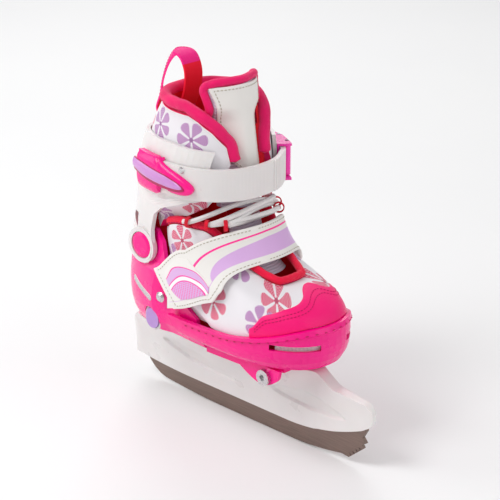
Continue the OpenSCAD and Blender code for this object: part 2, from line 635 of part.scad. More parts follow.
// Pivot pin with an inner head; the cap hides its outer end
bush_wall = 1.2;
module pivot_pins() {
    color("silver") {
        pivot_boss(pivot_y - 4.6, pivot_y + 4.2, pivot_d);
        pivot_boss(pivot_y - 5.8, pivot_y - 4.6, pivot_d + 5);
    }
}

module pivot_bushings() {
    color("ivory") difference() {
        pivot_boss(pivot_y - 4.5, pivot_y + 1.4, pivot_d + 2 * bush_wall - 0.1);
        pivot_boss(pivot_y - 9, pivot_y + 9, pivot_d + 0.1);
    }
}

module pivot_caps() {
    color("deeppink")
    for (side = [-1, 1])
        translate([pivot_x, side * (pivot_y + 4.5), pivot_z]) rotate([side * -90, 0, 0]) {
            cylinder(d = cap_d, h = 0.8);
            translate([0, 0, 0.8]) cylinder(d1 = cap_d, d2 = cap_d - 6, h = 1.2);
        }
}

// ---------------------------------------------------------------- ratchet strap and buckle
strap_z = 212;
strap_t0 = 0.235;
strap_t1 = 0.715;
// Strip of the boot between two turns and two heights
function strip(t0, t1, n, z0, z1, d) = [for (z = [z0, (z0 + z1) / 2, z1]) [for (k = [0 : n])
    skin(lerp(t0, t1, k / n), strap_z, d) + [0, 0, z]]];
// Curved bar between offsets d0 and d1
module bar(t0, t1, n, z0, z1, d0, d1) {
    between(strip(t0, t1, n, z0, z1, d1), strip(t0, t1, n, z0, z1, d0));
}
// Frame on the boot at turn t: x along the strap, y outwards
module at_turn(t, z, d) {
    p = skin(t, z, d);
    q = skin(t + 0.01, z, d) - skin(t - 0.01, z, d);
    translate(p) rotate([0, 0, atan2(q[1], q[0])]) mirror([0, 1, 0]) children();
}

cuff_out = cuff_in + cuff_t;
strap_out = cuff_out + 0.6;
// The strap rises over the buckle base at its far end
function strap_rise(t) = strap_out + 1.9 * ease((t - 0.6) / 0.04);
tooth_t0 = 0.535;
tooth_t1 = strap_t1 - 0.012;
tooth_n = round(norm(skin(tooth_t1, strap_z, 8) - skin(tooth_t0, strap_z, 8)) * 1.12 / tooth_p);

module ratchet_strap() {
    plain = [for (k = [0 : 29]) [lerp(strap_t0, tooth_t0, k / 30), 0]];
    teeth = [for (k = [0 : tooth_n - 1]) for (q = [[0, 0], [0.15, 1], [0.6, 1], [0.9, 0]])
        [lerp(tooth_t0, tooth_t1, (k + q[0]) / tooth_n), q[1] * tooth_h]];
    cols = concat(plain, teeth, [[tooth_t1, 0], [strap_t1, 0]]);
    function grid(wall, tall) = [for (v = [-1, 1]) [for (c = cols)
        skin(c[0], strap_z, strap_rise(c[0]) + wall + c[1] * tall) + [0, 0, v * strap_w / 2]]];
    color("white") between(grid(strap_t, 1), grid(0, 0));
}

// Anchor of the strap on the inner side: a channel under a pointed cover
clamp_t0 = 0.172;
clamp_t1 = 0.322;
clamp_d = strap_out + strap_t + 0.3;
function clamp_mid(s) = 5 - 9 * s;
function clamp_half(s) = s < 0.45 ? lerp(8.5, 10, s / 0.45) : 10 * sqrt(max(0.004, 1 - ((s - 0.45) / 0.55) ^ 1.6));
function cover_grid(d, share, s0, s1) = [for (v = [-1, -0.5, 0, 0.5, 1]) [for (k = [0 : 16])
    let (s = lerp(s0, s1, k / 16), t = lerp(clamp_t0, clamp_t1, s))
    skin(t, strap_z, d + 1.2 * (1 - (v * share) ^ 2)) + [0, 0, clamp_mid(s) + v * share * clamp_half(s)]]];

module strap_clamp() {
    color("deeppink") resize([0, 0, 0]) union() {
        between(cover_grid(clamp_d + 3, 1, 0, 1), cover_grid(clamp_d + 0.15, 1, 0, 1));
        bar(clamp_t0 + 0.004, 0.252, 8, strap_w / 2 + 0.4, strap_w / 2 + 2.6, cuff_out + 0.2, clamp_d + 2);
        bar(clamp_t0 + 0.004, 0.252, 8, -strap_w / 2 - 2.6, -strap_w / 2 - 0.4, cuff_out + 0.2, clamp_d + 2);
        bar(clamp_t0 + 0.004, 0.245, 8, -strap_w / 2 - 1, strap_w / 2 + 1, clamp_d, clamp_d + 2);
    }
}

module clamp_insert() {
    color("plum") between(cover_grid(clamp_d + 4.2, 0.5, 0.02, 0.8), cover_grid(clamp_d + 3.3, 0.5, 0.02, 0.8));
}

module clamp_rivet() {
    color("silver") at_turn(0.288, strap_z + 10.2, strap_out) {
        translate([0, strap_t + 0.2, 0]) rotate([-90, 0, 0]) cylinder(d1 = 5.4, d2 = 4, h = 1.2, $fn = 32);
    }
}

// Buckle: a curved base with two side walls, a lever on a front pin and a pawl on a rear pin
buckle_t0 = 0.645;
buckle_t1 = 0.738;
buckle_t = 0.662;
pin_d = 3;
wall_in = strap_w / 2 + 0.5;
wall_out = wall_in + 2;
module buckle_base() {
    color("deeppink")
    difference() {
        resize([0, 0, 0]) union() {
            bar(buckle_t0, buckle_t1, 8, -wall_out, wall_out, cuff_out + 0.2, cuff_out + 1.8);
            for (s = [-1, 1])
                bar(buckle_t0, buckle_t1, 8, s * (wall_in + 1) - 1, s * (wall_in + 1) + 1, cuff_out + 0.8, strap_out + 11);
        }
        at_buckle() translate([lever_x, pin_y, 0]) cylinder(d = pin_d, h = 60, center = true, $fn = 32);
        at_buckle() translate([pawl_x, pin_y - 1.5, 0]) cylinder(d = pin_d, h = 60, center = true, $fn = 32);
    }
}
// Frame at the front of the buckle, x along the strap to the rear, y outwards
module at_buckle() {
    at_turn(buckle_t, strap_z, strap_out) children();
}
lever_x = 2;
pawl_x = 20;
pin_y = 9.5;
lever_l = 33;
module buckle_lever() {
    color("deeppink") at_buckle() difference() {
        translate([0, 0, -wall_in + fit]) linear_extrude(height = 2 * (wall_in - fit)) {
            translate([lever_x, pin_y]) circle(r = 3);
            polygon([[lever_x - 2.8, pin_y + 1], [lever_x - 1, pin_y + 3], [14, 13.2], [24, 12.6], [lever_l, 9.5],
                [lever_l + 0.6, 7.8], [24, 10.4], [14, 10.8], [lever_x + 2.9, pin_y]]);
        }
        translate([lever_x, pin_y, 0]) cylinder(d = pin_d + 0.2, h = 60, center = true, $fn = 32);
    }
}

module lever_pin() {
    color("silver") at_buckle() translate([lever_x, pin_y, -wall_out - 0.3])
        cylinder(d = pin_d - 0.1, h = 2 * wall_out + 0.6, $fn = 32);
}

module pawl() {
    color("gray") at_buckle() difference() {
        translate([0, 0, -9]) linear_extrude(height = 18) {
            translate([pawl_x, pin_y - 1.5]) circle(r = 2.4);
            polygon([[pawl_x - 1.2, pin_y - 3.6], [pawl_x - 9, pin_y - 3.2], [pawl_x - 9.4, pin_y - 2], [pawl_x, pin_y + 0.8]]);
        }
        translate([pawl_x, pin_y - 1.5, 0]) cylinder(d = pin_d + 0.2, h = 60, center = true, $fn = 32);
    }
}

module pawl_pin() {
    color("silver") at_buckle() translate([pawl_x, pin_y - 1.5, -wall_out - 0.3])
        cylinder(d = pin_d - 0.1, h = 2 * wall_out + 0.6, $fn = 32);
}

module buckle_rivets() {
    color("silver")
    for (z = [-9, 9]) at_turn(0.725, strap_z, cuff_out + 1.9) translate([4, 0.1, z])
        rotate([-90, 0, 0]) cylinder(d1 = 5.5, d2 = 4, h = 1, $fn = 32);
}

// ---------------------------------------------------------------- fasteners and size button
module chassis_bolts() {
    color("silver")
    for (side = [-1, 1])
        translate([bolt_x, side * (skirt_y + 0.2), bolt_z]) rotate([side * -90, 0, 0])
            difference() {
                union() {
                    cylinder(d = bolt_d, h = 3);
                    translate([0, 0, -14]) cylinder(d = 6, h = 14);
                }
                translate([0, 0, 1]) cylinder(d = 6, h = 3, $fn = 6);
            }
}

module holder_screws() {
    color("silver")
    for (x = SCREW_X) for (side = [-1, 1])
        translate([x, side * 14, deck_z - 12]) {
            cylinder(d = 4, h = 12 + floor_t);
            translate([0, 0, 12 + floor_t]) cylinder(d = 8, h = 1.6);
        }
}

// Oval size button on the inner side of the heel, pushed inwards against a spring
module button_bezel() {
    color("white") at_button()
        difference() {
            translate([0, 0, 2.5]) linear_extrude(height = 3.5) slot_shape(button_l + 4, button_h + 4);
            translate([0, 0, -1]) linear_extrude(height = 8) slot_shape(button_l + 0.8, button_h + 0.8);
        }
}

module size_button() {
    color("orchid") at_button() {
        translate([0, 0, button_in]) linear_extrude(height = 7.5 - button_in) slot_shape(button_l, button_h);
    }
}

// Bar from the button to the tooth beyond the rack
module size_latch() {
    color("silver") {
        translate([button_x - 2, -button_y - button_in, rack_z + rack_t + fit])
            cube([4, button_y + button_in + rack_half + fit + 4, 1.4]);
        translate([button_x - 2, rack_half + fit, rack_z + 0.4]) cube([4, 4, rack_t + fit]);
    }
}

module button_spring() {
    turns = 5;
    path = [for (k = [0 : turns * 12]) [2.1 * cos(30 * k), k * 5.4 / (turns * 12), 2.1 * sin(30 * k)]];
    color("silver") translate([button_x + 5.4, -button_y - button_in + 0.5, deck_z + floor_t + 2.8]) tube(path, 0.35, 6);
}

blade();
blade_holder();
heel_shell();
chassis_bolts();
holder_screws();
button_bezel();
button_spring();
tab_rivets();
strap_tab();
liner_heel();
insole();
tongue_base();
pivot_pins();
pivot_bushings();
pivot_caps();
toe_shell();
toe_cap();
vamp();
throat_binding();
lace_loops();
lace();
size_rack();
vent_mesh();
instep_strap();
strap_rivets();
strap_flap();
strap_badge();
size_button();
size_latch();
cuff();
liner_collar();
collar_binding();
tongue();
tongue_binding();
tongue_patch();
pull_loop();
ratchet_strap();
strap_clamp();
clamp_insert();
clamp_rivet();
buckle_base();
buckle_lever();
lever_pin();
pawl();
pawl_pin();
buckle_rivets();
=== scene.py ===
from math import acos, copysign, cos, exp, pi, radians, sin, sqrt, tan
import bpy
import bmesh
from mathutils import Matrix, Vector


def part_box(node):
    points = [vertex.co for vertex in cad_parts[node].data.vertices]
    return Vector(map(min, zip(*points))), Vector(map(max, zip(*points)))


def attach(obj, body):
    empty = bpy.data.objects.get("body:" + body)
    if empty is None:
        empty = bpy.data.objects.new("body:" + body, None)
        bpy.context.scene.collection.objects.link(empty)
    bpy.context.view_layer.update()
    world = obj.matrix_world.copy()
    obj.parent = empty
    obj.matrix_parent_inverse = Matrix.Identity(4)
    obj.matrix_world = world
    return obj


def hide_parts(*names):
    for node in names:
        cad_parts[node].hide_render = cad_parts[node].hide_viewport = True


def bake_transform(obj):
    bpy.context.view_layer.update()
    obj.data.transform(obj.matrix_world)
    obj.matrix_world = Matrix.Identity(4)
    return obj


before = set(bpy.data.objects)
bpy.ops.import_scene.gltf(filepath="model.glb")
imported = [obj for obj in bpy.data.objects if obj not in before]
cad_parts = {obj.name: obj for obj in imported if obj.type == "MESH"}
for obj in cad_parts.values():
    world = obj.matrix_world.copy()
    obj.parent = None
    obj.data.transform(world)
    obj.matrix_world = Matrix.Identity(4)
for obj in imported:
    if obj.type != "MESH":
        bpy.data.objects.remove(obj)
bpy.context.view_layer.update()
MM = 0.001
scene = bpy.context.scene

# ------------ camera
TARGET = Vector((0.0025, 0.0, 0.149))
EYE = Vector((0.9894, -0.9869, 0.6988))
camera = bpy.data.objects.new("camera", bpy.data.cameras.new("camera"))
camera.location = EYE
camera.rotation_euler = (TARGET - EYE).to_track_quat("-Z", "Y").to_euler()
camera.data.lens = 135
camera.data.sensor_width = 36
camera.data.clip_end = 20
scene.collection.objects.link(camera)
scene.camera = camera

# ------------ sizes that several pieces share, in mm
UP = Vector((0, 0, 1))
ANKLE_X, ANKLE_Z = -81, 142             # the pins that the cuff leans on
STRAP_HALF = 13.5                       # half the instep strap's width
STRAP_NEAR, STRAP_FAR = 0.196, 0.80     # its two ends, as turns round the boot
LACE_OUT = 4.8                          # from the boot surface to the middle of a lace
BELT_Z = 212                            # middle height of the buckle strap
CLAMP_BACK, CLAMP_FRONT = 0.172, 0.322  # the ends of the strap clamp, as turns
CLAMP_D = 9.3                           # from the boot surface to the clamp's upper face

# ------------ the boot surface
# A point on it is a turn t (0 heel, 0.25 near side, 0.5 toe, 0.75 far side), a height z and an offset d.
# Each level: z, rear x, middle x, front x, half width, roundness behind, roundness in front
LEVELS = [
    [64, -110, 8, 78, 33, 2.5, 2.3], [72, -116, 12, 86, 40, 2.6, 2.3],
    [85, -120, 15, 92, 45, 2.6, 2.3], [100, -121, 18, 94, 46.5, 2.6, 2.3],
    [112, -120.5, 17, 92, 46, 2.6, 2.3], [122, -119, 10, 85, 44.5, 2.6, 2.3],
    [130, -117.5, 2, 71, 43, 2.6, 2.3], [137, -116, -8, 50, 41.5, 2.6, 2.3],
    [145, -114, -18, 34, 40.5, 2.5, 2.3], [155, -111, -25, 23, 40, 2.5, 2.2],
    [170, -107.5, -32, 14, 40, 2.4, 2.2], [185, -105, -36, 10, 40.5, 2.4, 2.2],
    [200, -103, -38, 8, 41.5, 2.3, 2.2], [215, -100, -38, 8, 42, 2.3, 2.2],
    [230, -95, -37, 6, 41.5, 2.3, 2.2], [250, -84, -36, 3, 39.5, 2.3, 2.2],
    [272, -75, -34, 0, 37, 2.3, 2.3], [300, -70, -32, -3, 36, 2.3, 2.4]]


def lerp(a, b, t):
    return a + (b - a) * t


def unit(t):
    return min(1.0, max(0.0, t))


def ease(t):
    """Smooth step from 0 to 1."""
    c = unit(t)
    return c * c * (3 - 2 * c)


def hump(t):
    """Half a sine wave over 0 to 1, flat outside."""
    return sin(pi * unit(t))


def lookup(x, table):
    """Height of the broken line through the table's points at x."""
    if x <= table[0][0]:
        return table[0][1]
    for (x0, y0), (x1, y1) in zip(table, table[1:]):
        if x <= x1:
            return lerp(y0, y1, (x - x0) / (x1 - x0))
    return table[-1][1]


def slope(i, c):
    """Steepness of column c at level i."""
    a, b = max(0, i - 1), min(len(LEVELS) - 1, i + 1)
    return (LEVELS[b][c] - LEVELS[a][c]) / (LEVELS[b][0] - LEVELS[a][0])


def level(z, c):
    """Column c of LEVELS at height z, on a smooth cubic."""
    i = max([k for k in range(len(LEVELS) - 1) if LEVELS[k][0] <= z] or [0])
    h = LEVELS[i + 1][0] - LEVELS[i][0]
    s = (z - LEVELS[i][0]) / h
    return (LEVELS[i][c] * (2 * s ** 3 - 3 * s * s + 1) + LEVELS[i + 1][c] * (3 * s * s - 2 * s ** 3)
            + slope(i, c) * h * (s ** 3 - 2 * s * s + s) + slope(i + 1, c) * h * (s ** 3 - s * s))


def signed_pow(v, e):
    return copysign(abs(v) ** e, v)


def skin(t, z, d=0.0):
    """Point of the boot surface at turn t and height z, moved d outwards."""
    c, s = cos(2 * pi * t), sin(2 * pi * t)
    n = level(z, 5 if c >= 0 else 6)
    xm = level(z, 2)
    xe = level(z, 1) - d if c >= 0 else level(z, 3) + d
    return Vector((xm + (xe - xm) * abs(c) ** (2 / n), -(level(z, 4) + d) * signed_pow(s, 2 / n), z))


def turn_at(x, z):
    """Turn on the near side where the surface at height z has this x."""
    xm = level(z, 2)
    back = x < xm
    xe = level(z, 1 if back else 3)
    q = unit((x - xm) / (xe - xm))
    c = q ** (level(z, 5 if back else 6) / 2)
    return acos(c if back else -c) / (2 * pi)


def outward(t, z):
    """Direction that points out of the boot there."""
    return (skin(t, z, 1) - skin(t, z, 0)).normalized()


# ------------ mesh helpers
def smooth(mesh):
    for poly in mesh.polygons:
        poly.use_smooth = True


def link(name, mesh, body, mats):
    obj = bpy.data.objects.new(name, mesh)
    scene.collection.objects.link(obj)
    for finish in mats:
        mesh.materials.append(M[finish])
    if body:
        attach(obj, body)
    return obj


def piece(name, body, mats, verts, faces, uvs, tv=None, index=None):
    """Smooth mesh from points in mm, with its rest place, its own pattern coordinates and a UV map."""
    mesh = bpy.data.meshes.new(name)
    mesh.from_pydata([v * MM for v in verts], [], faces)
    rest = mesh.attributes.new("rest", "FLOAT_VECTOR", "POINT")
    for i, v in enumerate(verts):
        rest.data[i].vector = v
    if tv:
        pattern = mesh.attributes.new("tv", "FLOAT_VECTOR", "POINT")
        for i, v in enumerate(tv):
            pattern.data[i].vector = (v[0], v[1], 0)
    layer = mesh.uv_layers.new(name="UVMap")
    for loop in mesh.loops:
        layer.data[loop.index].uv = uvs[loop.vertex_index]
    if index:
        for poly, k in zip(mesh.polygons, index):
            poly.material_index = k
    smooth(mesh)
    bm = bmesh.new()
    bm.from_mesh(mesh)
    bmesh.ops.recalc_face_normals(bm, faces=bm.faces)
    bm.to_mesh(mesh)
    bm.free()
    mesh.update()
    return link(name, mesh, body, mats)


def settle(obj):
    """Turn the modifiers of obj into its mesh."""
    deps = bpy.context.evaluated_depsgraph_get()
    mesh = bpy.data.meshes.new_from_object(obj.evaluated_get(deps), preserve_all_data_layers=True,
                                           depsgraph=deps)
    obj.modifiers.clear()
    obj.data = mesh
    smooth(mesh)
    return obj


def soften(obj, width, angle=40):
    """Round the edges sharper than angle."""
    bevel = obj.modifiers.new("edge", "BEVEL")
    bevel.width = width * MM
    bevel.segments = 3
    bevel.limit_method = "ANGLE"
    bevel.angle_limit = radians(angle)
    return settle(obj)


def running(path):
    """Length along path at each of its points."""
    out = [0.0]
    for a, b in zip(path, path[1:]):
        out.append(out[-1] + (b - a).length)
    return out


def walls(surface, outer, inner):
    """The two faces of a panel: surface(u, v, d) at two depths."""
    return lambda u, v: surface(u, v, outer), lambda u, v: surface(u, v, inner)


def panel(name, body, mats, us, vs, outer, inner, bevel=0.6):
    """Sheet between outer(u, v) and inner(u, v); mats are outside, inside and edge."""
    nu, nv = len(us), len(vs)
    top = [[outer(u, v) for u in us] for v in vs]
    low = [[inner(u, v) for u in us] for v in vs]
    au = running(top[nv // 2])
    av = running([row[nu // 2] for row in top])
    verts, uvs, tv = [], [], []
    for side in (top, low):
        for j in range(nv):
            for i in range(nu):
                verts.append(side[j][i])
                uvs.append((au[i] * MM, av[j] * MM))
                tv.append((us[i], vs[j]))
    n = nu * nv
    faces, index = [], []

    def at(j, i):
        return j * nu + i
    for j in range(nv - 1):
        for i in range(nu - 1):
            a, b, c, d = at(j, i), at(j, i + 1), at(j + 1, i + 1), at(j + 1, i)
            faces.append((a, b, c, d))
            index.append(0)
            faces.append((a + n, d + n, c + n, b + n))
            index.append(min(1, len(mats) - 1))
    rim = [at(0, i) for i in range(nu)] + [at(j, nu - 1) for j in range(1, nv)]
    rim += [at(nv - 1, i) for i in range(nu - 2, -1, -1)] + [at(j, 0) for j in range(nv - 2, 0, -1)]
    for a, b in zip(rim, rim[1:] + rim[:1]):
        faces.append((a, a + n, b + n, b))
        index.append(2 if len(mats) > 2 else 0)
    obj = piece(name, None, mats, verts, faces, uvs, tv, index)
    if bevel:
        soften(obj, bevel)
    if body:
        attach(obj, body)
    return obj


def span(a, b, n):
    return [lerp(a, b, k / n) for k in range(n + 1)]


def curve_through(points, per=6):
    """Smooth path through points."""
    pts = [points[0] * 2 - points[1]] + list(points) + [points[-1] * 2 - points[-2]]
    out = []
    for i in range(1, len(pts) - 2):
        a, b, c, d = pts[i - 1], pts[i], pts[i + 1], pts[i + 2]
        for k in range(per):
            s = k / per
            out.append(0.5 * ((2 * b) + (c - a) * s + (2 * a - 5 * b + 4 * c - d) * s * s
                              + (3 * b - a - 3 * c + d) * s ** 3))
    out.append(points[-1])
    return out


def sweep(path, shape, cap=0.6, up=None):
    """Closed tube along path; shape(angle, share) gives (sideways, upwards) from the path in mm."""
    sides = 20
    n = len(path)
    tangents = [(path[min(n - 1, i + 1)] - path[max(0, i - 1)]).normalized() for i in range(n)]
    normal = UP
    verts, uvs, length = [], [], 0.0
    for i in range(n):
        t = tangents[i]
        if up:
            normal = up(i)
        normal = (normal - t * normal.dot(t))
        normal = normal.normalized() if normal.length > 1e-6 else t.orthogonal().normalized()
        side = t.cross(normal)
        if i:
            length += (path[i] - path[i - 1]).length
        for k in range(sides):
            a = 2 * pi * k / sides
            p, q = shape(a, i / (n - 1))
            verts.append(path[i] + side * p + normal * q)
            uvs.append((k / sides, length * MM))
    faces = []
    for i in range(n - 1):
        for k in range(sides):
            a, b = i * sides + k, i * sides + (k + 1) % sides
            faces.append((a, b, b + sides, a + sides))
    for end, row in ((path[0] - tangents[0] * cap, 0), (path[-1] + tangents[-1] * cap, (n - 1) * sides)):
        verts.append(end)
        uvs.append((0.5, 0))
        for k in range(sides):
            faces.append((len(verts) - 1, row + k, row + (k + 1) % sides))
    return verts, faces, uvs


def round_tube(name, body, mat, path, r, cap=0.6, squeeze=1.0, up=None):
    def shape(a, s):
        rr = r(a, s) if callable(r) else r
        return rr * cos(a), rr * squeeze * sin(a)
    verts, faces, uvs = sweep(path, shape, cap, up)
    return piece(name, body, [mat], verts, faces, uvs, uvs)


def stitches(name, body, mat, paths, pitch=3.3, length=2.3, r=0.4):
    """Thread showing as a row of short rounded dashes along each path."""
    verts, faces = [], []
    for path in paths:
        run = running(path)

        def place(s):
            s = min(max(s, 0.0), run[-1] - 1e-6)
            i = max(k for k in range(len(run)) if run[k] <= s)
            i = min(i, len(path) - 2)
            return path[i].lerp(path[i + 1], (s - run[i]) / max(1e-9, run[i + 1] - run[i]))
        for k in range(int(run[-1] / pitch)):
            s0 = k * pitch + 0.4
            base = len(verts)
            t = (place(s0 + length) - place(s0)).normalized()
            side = t.orthogonal().normalized()
            other = t.cross(side)
            for share, rr in ((0, 0.35), (0.18, 0.9), (0.5, 1), (0.82, 0.9), (1, 0.35)):
                p = place(s0 + share * length)
                for j in range(6):
                    a = pi * j / 3
                    verts.append(p + (side * cos(a) + other * sin(a)) * r * rr)
            for m in range(4):
                for j in range(6):
                    a, b = base + m * 6 + j, base + m * 6 + (j + 1) % 6
                    faces.append((a, b, b + 6, a + 6))
            faces.append(tuple(base + j for j in range(6)))
            faces.append(tuple(base + 24 + j for j in range(6)))
    return piece(name, body, [mat], verts, faces, [(v.x * MM, v.z * MM) for v in verts])


def beside(edge, normals, gap):
    """The edge moved by gap sideways within its surface, upwards at its middle."""
    n = len(edge)
    steps = []
    for i in range(n):
        t = (edge[min(n - 1, i + 1)] - edge[max(0, i - 1)]).normalized()
        steps.append(t.cross(normals[i]).normalized())
    sign = 1 if steps[n // 2].z > 0 else -1
    return [edge[i] + steps[i] * gap * sign for i in range(n)]


# ------------ materials
def rgb(*shares):
    """Linear colour of red, green and blue from 0 to 255."""
    linear = [(c / 255) / 12.92 if c <= 10 else ((c / 255 + 0.055) / 1.055) ** 2.4 for c in shares]
    return (*linear, 1.0)


class Graph:
    """Nodes of one material; each method adds a node and returns its output."""
    def __init__(self, name, rough, metallic=0.0, sheen=0.0, coat=0.0, spec=0.5, under=0.0):
        self.mat = bpy.data.materials.new(name)
        self.mat.use_nodes = True
        self.tree = self.mat.node_tree
        self.shader = self.tree.nodes["Principled BSDF"]
        for key, value in (("Roughness", rough), ("Metallic", metallic), ("Specular IOR Level", spec),
                           ("Sheen Weight", sheen), ("Sheen Roughness", 0.45), ("Coat Weight", coat),
                           ("Coat Roughness", 0.12), ("Subsurface Weight", under),
                           ("Subsurface Scale", 0.004)):
            self.shader.inputs[key].default_value = value

    def node(self, kind):
        return self.tree.nodes.new("ShaderNode" + kind)

    def put(self, socket, value):
        if value is None:
            return
        if hasattr(value, "is_output"):
            self.tree.links.new(value, socket)
        else:
            socket.default_value = value

    def math(self, op, a, b=None, c=None):
        n = self.node("Math")
        n.operation = op
        for k, v in enumerate((a, b, c)):
            self.put(n.inputs[k], v)
        return n.outputs[0]

    def mul(self, a, b):
        return self.math("MULTIPLY", a, b)

    def add(self, a, b):
        return self.math("ADD", a, b)

    def sine(self, a):
        return self.math("SINE", a)

    def below(self, a, b):
        return self.math("LESS_THAN", a, b)

    def above(self, a, b):
        return self.math("GREATER_THAN", a, b)

    def attr(self, name):
        n = self.node("Attribute")
        n.attribute_name = name
        return n.outputs["Vector"]

    def uv(self):
        n = self.node("UVMap")
        n.uv_map = "UVMap"
        return n.outputs[0]

    def place(self):
        return self.node("TexCoord").outputs["Object"]

    def split(self, vector):
        n = self.node("SeparateXYZ")
        self.put(n.inputs[0], vector)
        return n.outputs[0], n.outputs[1], n.outputs[2]

    def noise(self, vector, scale, detail=3.0, stretch=None):
        if stretch:
            m = self.node("Mapping")
            self.put(m.inputs["Vector"], vector)
            m.inputs["Scale"].default_value = stretch
            vector = m.outputs[0]
        n = self.node("TexNoise")
        self.put(n.inputs["Vector"], vector)
        n.inputs["Scale"].default_value = scale
        n.inputs["Detail"].default_value = detail
        return n.outputs["Fac"]

    def clouds(self, vector, scale, detail, low=0.0, high=1.0):
        """Soft patches from low to high; fine noise stays between its outer thirds."""
        return self.span(self.noise(vector, scale, detail), 0.3, 0.7, low, high)

    def cells(self, vector, scale):
        n = self.node("TexVoronoi")
        n.feature = "DISTANCE_TO_EDGE"
        self.put(n.inputs["Vector"], vector)
        n.inputs["Scale"].default_value = scale
        return n.outputs["Distance"]

    def span(self, value, a, b, c=0.0, d=1.0):
        n = self.node("MapRange")
        for k, v in enumerate((value, a, b, c, d)):
            self.put(n.inputs[k], v)
        return n.outputs[0]

    def mix(self, factor, a, b):
        n = self.node("Mix")
        n.data_type = "RGBA"
        self.put(n.inputs["Factor"], factor)
        self.put(n.inputs[6], a)
        self.put(n.inputs[7], b)
        return n.outputs[2]

    def bump(self, height, distance, strength=1.0):
        n = self.node("Bump")
        n.inputs["Strength"].default_value = strength
        n.inputs["Distance"].default_value = distance
        self.put(n.inputs["Height"], height)
        self.put(self.shader.inputs["Normal"], n.outputs[0])

    def colour(self, value):
        self.put(self.shader.inputs["Base Color"], value)

    def rough(self, value):
        self.put(self.shader.inputs["Roughness"], value)


def shade(c, k):
    """Colour c, k times as bright."""
    return tuple(min(1.0, v * k) for v in c[:3]) + (1.0,)


def plastic(name, c, rough=0.28, coat=0.25, grain=900, wear=True, under=0.05, spec=0.5):
    g = Graph(name, rough, coat=coat, under=under, spec=spec)
    p = g.place()
    tone = g.clouds(p, 14, 4)
    base = g.mix(tone, shade(c, 0.93), shade(c, 1.04))
    if wear:
        scuff = g.span(g.noise(p, 55, 6, (1, 1, 5)), 0.66, 0.74)
        base = g.mix(g.mul(scuff, 0.05), base, shade(c, 0.7))
    g.colour(base)
    g.rough(g.clouds(p, 40, 5, rough * 0.8, rough * 1.35))
    g.bump(g.add(g.noise(p, grain, 2), g.mul(g.noise(p, 60, 3), 1.5)), 0.00006)
    return g.mat


def metal(name, c, rough=0.3, along=(2, 60, 60)):
    g = Graph(name, rough, metallic=1.0)
    p = g.place()
    brushed = g.noise(p, 30, 6, along)
    g.colour(g.mix(g.span(brushed, 0.3, 0.7), shade(c, 0.78), shade(c, 1.12)))
    g.rough(g.span(brushed, 0.3, 0.7, rough * 0.8, rough * 1.5))
    g.bump(brushed, 0.00005)
    return g.mat


def weave_height(g, pitch, uv=None):
    """Plain weave on the UV map, in metres."""
    u, v, _ = g.split(uv or g.uv())
    k = 2 * pi / pitch
    a = g.sine(g.mul(u, k))
    b = g.sine(g.mul(v, k))
    return g.add(g.mul(g.mul(a, b), 0.5), 0.5)


def cloth(name, c, pitch=0.0009, rough=0.75, sheen=0.35, depth=0.00012, dark=0.86):
    g = Graph(name, rough, sheen=sheen, spec=0.3)
    h = weave_height(g, pitch)
    p = g.place()
    tone = g.clouds(p, 35, 4)
    # Painted shade: the weave's low points between threads are darkened by the factor dark.
    base = g.mix(h, shade(c, dark), shade(c, 1.03))
    g.colour(g.mix(g.mul(tone, 0.35), base, shade(c, 0.9)))
    g.bump(g.add(h, g.mul(g.noise(p, 260, 3), 0.5)), depth)
    return g.mat


def leather_base(g, c):
    p = g.place()
    grain = g.cells(p, 900)
    crease = g.noise(p, 90, 5)
    tone = g.clouds(p, 22, 4)
    g.bump(g.add(g.math("MINIMUM", grain, 0.25), g.mul(crease, 0.4)), 0.00025)
    return g.mix(g.mul(tone, 0.3), c, shade(c, 0.9))


def leather(name, c, rough=0.42):
    g = Graph(name, rough, spec=0.3, coat=0.03)
    g.colour(leather_base(g, c))
    g.rough(g.clouds(g.place(), 70, 4, rough * 0.85, rough * 1.3))
    return g.mat


PINK = rgb(255, 0, 138)
RED = rgb(255, 0, 48)
LEATHER = rgb(236, 233, 229)
LILAC = rgb(216, 170, 226)
PLUM = rgb(170, 96, 172)
ROSE = rgb(216, 10, 96)

FINISHES = {
    plastic: {
        "white_plastic": (rgb(228, 224, 223), 0.32, 0.2),
        "pink_plastic": (PINK, 0.24, 0.22, 900, True, 0.0, 0.3),
        "magenta_plastic": (rgb(255, 40, 175), 0.25, 0.3),
        "lilac_plastic": (rgb(205, 140, 208), 0.3, 0.25),
        # Painted shade: the clamp's pink darkened, for the shade in the gap round the clamp insert.
        "dark_plastic": (rgb(176, 0, 84), 0.4, 0.1),
        "button_plastic": (rgb(180, 140, 208), 0.3, 0.25),
        "black_plastic": (rgb(28, 26, 30), 0.35, 0.1),
        "nylon": (rgb(225, 220, 205), 0.4, 0.0)},
    metal: {
        "steel": (rgb(140, 122, 114), 0.36),
        "bright_metal": (rgb(205, 203, 205), 0.22, (20, 20, 20)),
        "zinc": (rgb(165, 165, 172), 0.35, (20, 20, 20))},
    cloth: {
        "red_lining": (RED, 0.0012, 0.85, 0.1),
        "pink_padding": (rgb(250, 0, 108), 0.0011, 0.6, 0.12, 0.00012, 0.93),
        "red_binding": (rgb(255, 0, 66), 0.0011, 0.7, 0.12),
        "lilac_cloth": (rgb(205, 190, 214), 0.001, 0.8, 0.25),
        "webbing": (rgb(255, 20, 140), 0.0016, 0.7, 0.12, 0.00025, 0.85),
        "red_webbing": (rgb(255, 0, 50), 0.0014, 0.75, 0.1, 0.00025, 0.85),
        "foam": (RED, 0.0016, 0.9, 0.2),
        "thread": (rgb(190, 182, 165), 0.0005, 0.6, 0.1),
        "dark_thread": (rgb(206, 0, 96), 0.0005, 0.6, 0.0)},
    leather: {
        "white_leather": (LEATHER,),
        "pink_leather": (rgb(250, 0, 118), 0.36)}}
M = {name: make(name, *values) for make, rows in FINISHES.items() for name, values in rows.items()}


